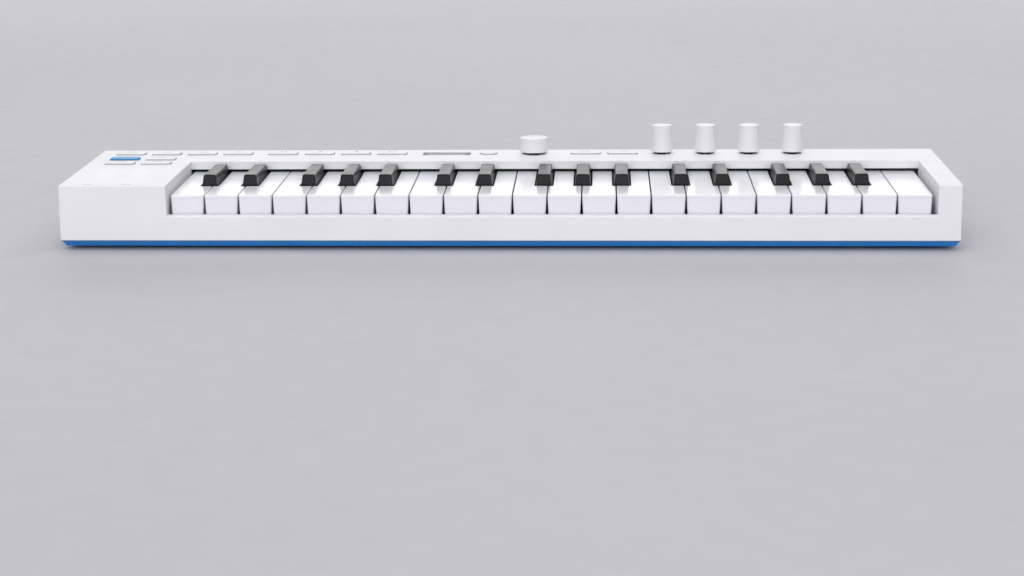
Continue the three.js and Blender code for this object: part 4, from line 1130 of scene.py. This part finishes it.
def make_din_sockets():
    for index, x in enumerate(DIN_SOCKETS):
        name, z = f"din_socket_{index + 1}", DIN_Z
        face = RECESSED_FACE
        body = housing(x, 20, 14, z + 9.2)
        barrel = [(9, SOCKET_FACE - 0.5), (9, face - 0.3), (8.85, face - 0.08), (8.6, face)]
        join(body, lathe(x, z, barrel, 64, "y"))
        floor = face - 7
        groove = [
            (7.4, floor), (7.4, face - 0.2), (7.6, face + 1),
            (5.7, face + 1), (5.9, face - 0.2), (5.9, floor),
        ]
        cut(body, hoop(x, z, groove, 64))
        pins = []
        for pin in range(5):
            turn = math.pi * pin / 4
            u, v = x + 4 * math.cos(turn), z - 4 * math.sin(turn)
            pins.append(lathe(u, v, [(0.8, floor + 1), (0.8, BEYOND_REAR)], 20, "y"))
        cut(body, merged(pins), block(x - 1, x + 1, floor, BEYOND_REAR, z + 4.6, z + 6.2))
        finish_piece(body, f"{name}_body", "case", SOCKET_BLACK, "black_plastic")
        shield = [(7.36, floor + 0.1), (7.36, face - 1.2), (7.1, face - 1.2), (7.1, floor + 0.1)]
        piece(f"{name}_shield", hoop(x, z, shield, 64), "case", NICKEL, "plated_metal", smooth=40)


def make_usb_socket():
    x, z = USB
    face, deep = RECESSED_FACE, REAR_Y - 9
    outer, inner = rectangle(x, z, 9.1, 3.1, 1.5, 8), rectangle(x, z, 8.4, 2.4, 1.15, 8)
    shell = [
        (outer(), deep), (outer(), face - 0.1), (outer(-0.1), face),
        (inner(0.05), face), (inner(), face - 0.15), (inner(), deep),
    ]
    piece("usb_shell", loop(shell, "y"), "case", NICKEL, "plated_metal", smooth=40)
    back = stack([(inner(-0.05), deep), (inner(-0.05), deep + 2.4)], "y")
    tongue = rectangle(x, z, 6.6, 0.7, 0.2, 2)
    blade = stack([(tongue(), deep + 2), (tongue(), face - 1), (tongue(-0.12), face - 0.8)], "y")
    piece("usb_tongue", merged([back, blade]), "case", SOCKET_BLACK, "black_plastic")
    seat = block(x - 4, x + 4, deep, deep + 4.5, BOARD_TOP, z - 1.56)
    piece("usb_seat", seat, "case", NICKEL, "plated_metal")


def make_power_switch():
    x, z, travel = POWER_SLOT_X, POWER_Z, 2.4
    face = rectangle(x, 62.5, 13, 7, 0.4)
    body = solid(stack(slab(face, BOARD_TOP, z + 3.2, 0.3)))
    reach = travel / 2 + 1.3
    cut(body, block(x - reach, x + reach, 62.1, 67, z - 1.3, z + 1.3))
    finish_piece(body, "power_switch_body", "case", STEEL, "plated_metal")
    x = SLIDER_X
    cap = [(2.75, 70.9), (2.75, 72.5), (2.68, 72.75), (2.5, 72.9), (2.2, 72.95), (1.4, 72.9)]
    piece("power_switch_cap", lathe(x, z, cap, 48, "y"), "power_switch", KNOB_WHITE, "white_knob",
          ["power_switch"], 40)
    shutter = rectangle(x, z, 14, 8, 0.5)
    piece("power_switch_shutter", stack(slab(shutter, 70.05, 70.88, 0.1), "y"), "power_switch",
          SHUTTER_GREY, "white_knob")
    stem = block(x - 1, x + 1, 62.4, 70.0, z - 1, z + 1)
    piece("power_switch_stem", stem, "power_switch", SOCKET_BLACK, "black_plastic")


def make_lock_slot():
    outer, inner = rectangle(*LOCK, 4.6, 9, 1), rectangle(*LOCK, 3.1, 7.5, 0.5)
    levels = [(outer(), 70.2), (outer(), 70.95), (inner(), 70.95), (inner(), 70.2)]
    piece("lock_plate", loop(levels, "y"), "case", STEEL, "plated_metal")


make_jacks()
make_din_sockets()
make_usb_socket()
make_power_switch()
make_lock_slot()


def paint_keybed():
    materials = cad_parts["keybed_frame"].data.materials
    materials.clear()
    materials.append(FRAME_GREY)


paint_keybed()


# ---- Print ----

def ink(name, shapes, level, body="case", finish=INK, axis="z"):
    """Thin printed shapes: closed outlines, whose top is at the level."""
    meshes = [stack([(points, level - INK_RAISE), (points, level)], axis) for points in shapes]
    piece(name, merged(meshes), body, finish, "printed_ink")


def make_button_icons():
    level = BUTTON_TOP + INK_RAISE
    rear = CONTROL_Y + 2.7
    dot = lambda x, y, r: circle(x, y, r, 20)()
    icons = {
        "transport_button_1": lambda x: [bar(x - 1.3, rear, 1.7, 1.7), bar(x + 1.3, rear, 1.7, 1.7)],
        "transport_button_2": lambda x: [dot(x, rear, 1.15)],
        "transport_button_3": lambda x: [bar(x, rear, 2, 2)],
        "transport_button_4": lambda x: [
            [(x - 2.6, rear - 1.1), (x - 0.5, rear), (x - 2.6, rear + 1.1)],
            bar(x + 0.8, rear, 0.6, 2.1), bar(x + 2.2, rear, 0.6, 2.1),
        ],
    }
    for name, draw in icons.items():
        ink(f"{name}_icon", draw(BUTTONS[name][0]), level, name)
    marks = [("function", 1, 7), ("function", 2, 5), ("function", 3, 7), ("function", 4, 5),
             ("mode", 1, 5.5), ("mode", 2, 5.5)]
    for kind, index, width in marks:
        button = f"{kind}_button_{index}"
        ink(f"{kind}_{index}_mark", [bar(BUTTONS[button][0], rear, width, 0.7)], level, button)
    ink("shift_mark", [bar(SHIFT_X, SHIFT_Y + 2.7, 6.5, 0.7)], level, "shift_button", INK_PALE)
    ink("cluster_marks", [bar(x, y + 2.7, 6.5, 0.7) for x, y in CLUSTER], level, "cluster_buttons")


def make_panel_print():
    for index, x in enumerate((-271.1, -245.2)):
        ink(f"strip_mark_{index + 1}", [bar(x, -68.4, 6.8, 0.7)], BODY_TOP + INK_RAISE)


def make_rear_print():
    ink("rear_print", rear_marks(), REAR_Y - 0.01, axis="y")
    symbol = power_symbol(REAR_Y - PRINT_DEPTH, REAR_Y - 0.01)
    piece("power_symbol", merged(symbol), "case", INK, "printed_ink")


make_button_icons()
make_panel_print()
make_rear_print()


# ---- Floor and light ----

def make_floor():
    mesh = bmesh.new()
    reach = 12
    mesh.faces.new([mesh.verts.new(corner) for corner in
                    ((-reach, -reach, 0), (reach, -reach, 0), (reach, reach, 0), (-reach, reach, 0))])
    floor = solid(mesh, "floor")
    paint = Paint("floor_paper")
    paint.colour(paint.ramp(paint.noise(600, 2), (0.3, (0.5, 0.5, 0.515)), (0.7, (0.53, 0.53, 0.545))))
    paint.roughness(paint.spread(paint.noise(20, 3), 0.6, 0.75))
    floor.data.materials.append(paint.material)


def area_light(name, place, target, width, height, power, colour=(1, 1, 1)):
    light = bpy.data.lights.new(name, "AREA")
    light.shape = "RECTANGLE"
    light.size, light.size_y = width, height
    light.energy = power
    light.color = colour
    obj = bpy.data.objects.new(name, light)
    SCENE.collection.objects.link(obj)
    obj.location = place
    obj.rotation_euler = (Vector(target) - Vector(place)).to_track_quat("-Z", "Y").to_euler()
    obj.visible_camera = False


def make_lights():
    world = bpy.data.worlds.new("studio")
    world.use_nodes = True
    background = world.node_tree.nodes["Background"]
    background.inputs["Color"].default_value = (0.93, 0.94, 1.0, 1)
    background.inputs["Strength"].default_value = 0.28
    SCENE.world = world
    area_light("overhead", (0, 0.3, 2.4), (0, 0, 0), 4.5, 3.0, 44)
    area_light("front_fill", (-0.6, -2.6, 2.0), (0, 0, 0), 3.0, 1.6, 16)
    area_light("front_low", (0, -3.2, 1.1), (0, 0, 0), 5.0, 1.6, 62, (0.99, 0.97, 1.0))
    area_light("backdrop", (0, 3.2, 0.9), (0, 0, 0.2), 6, 1.8, 56)


make_floor()
make_lights()
SCENE.view_settings.view_transform = "Standard"
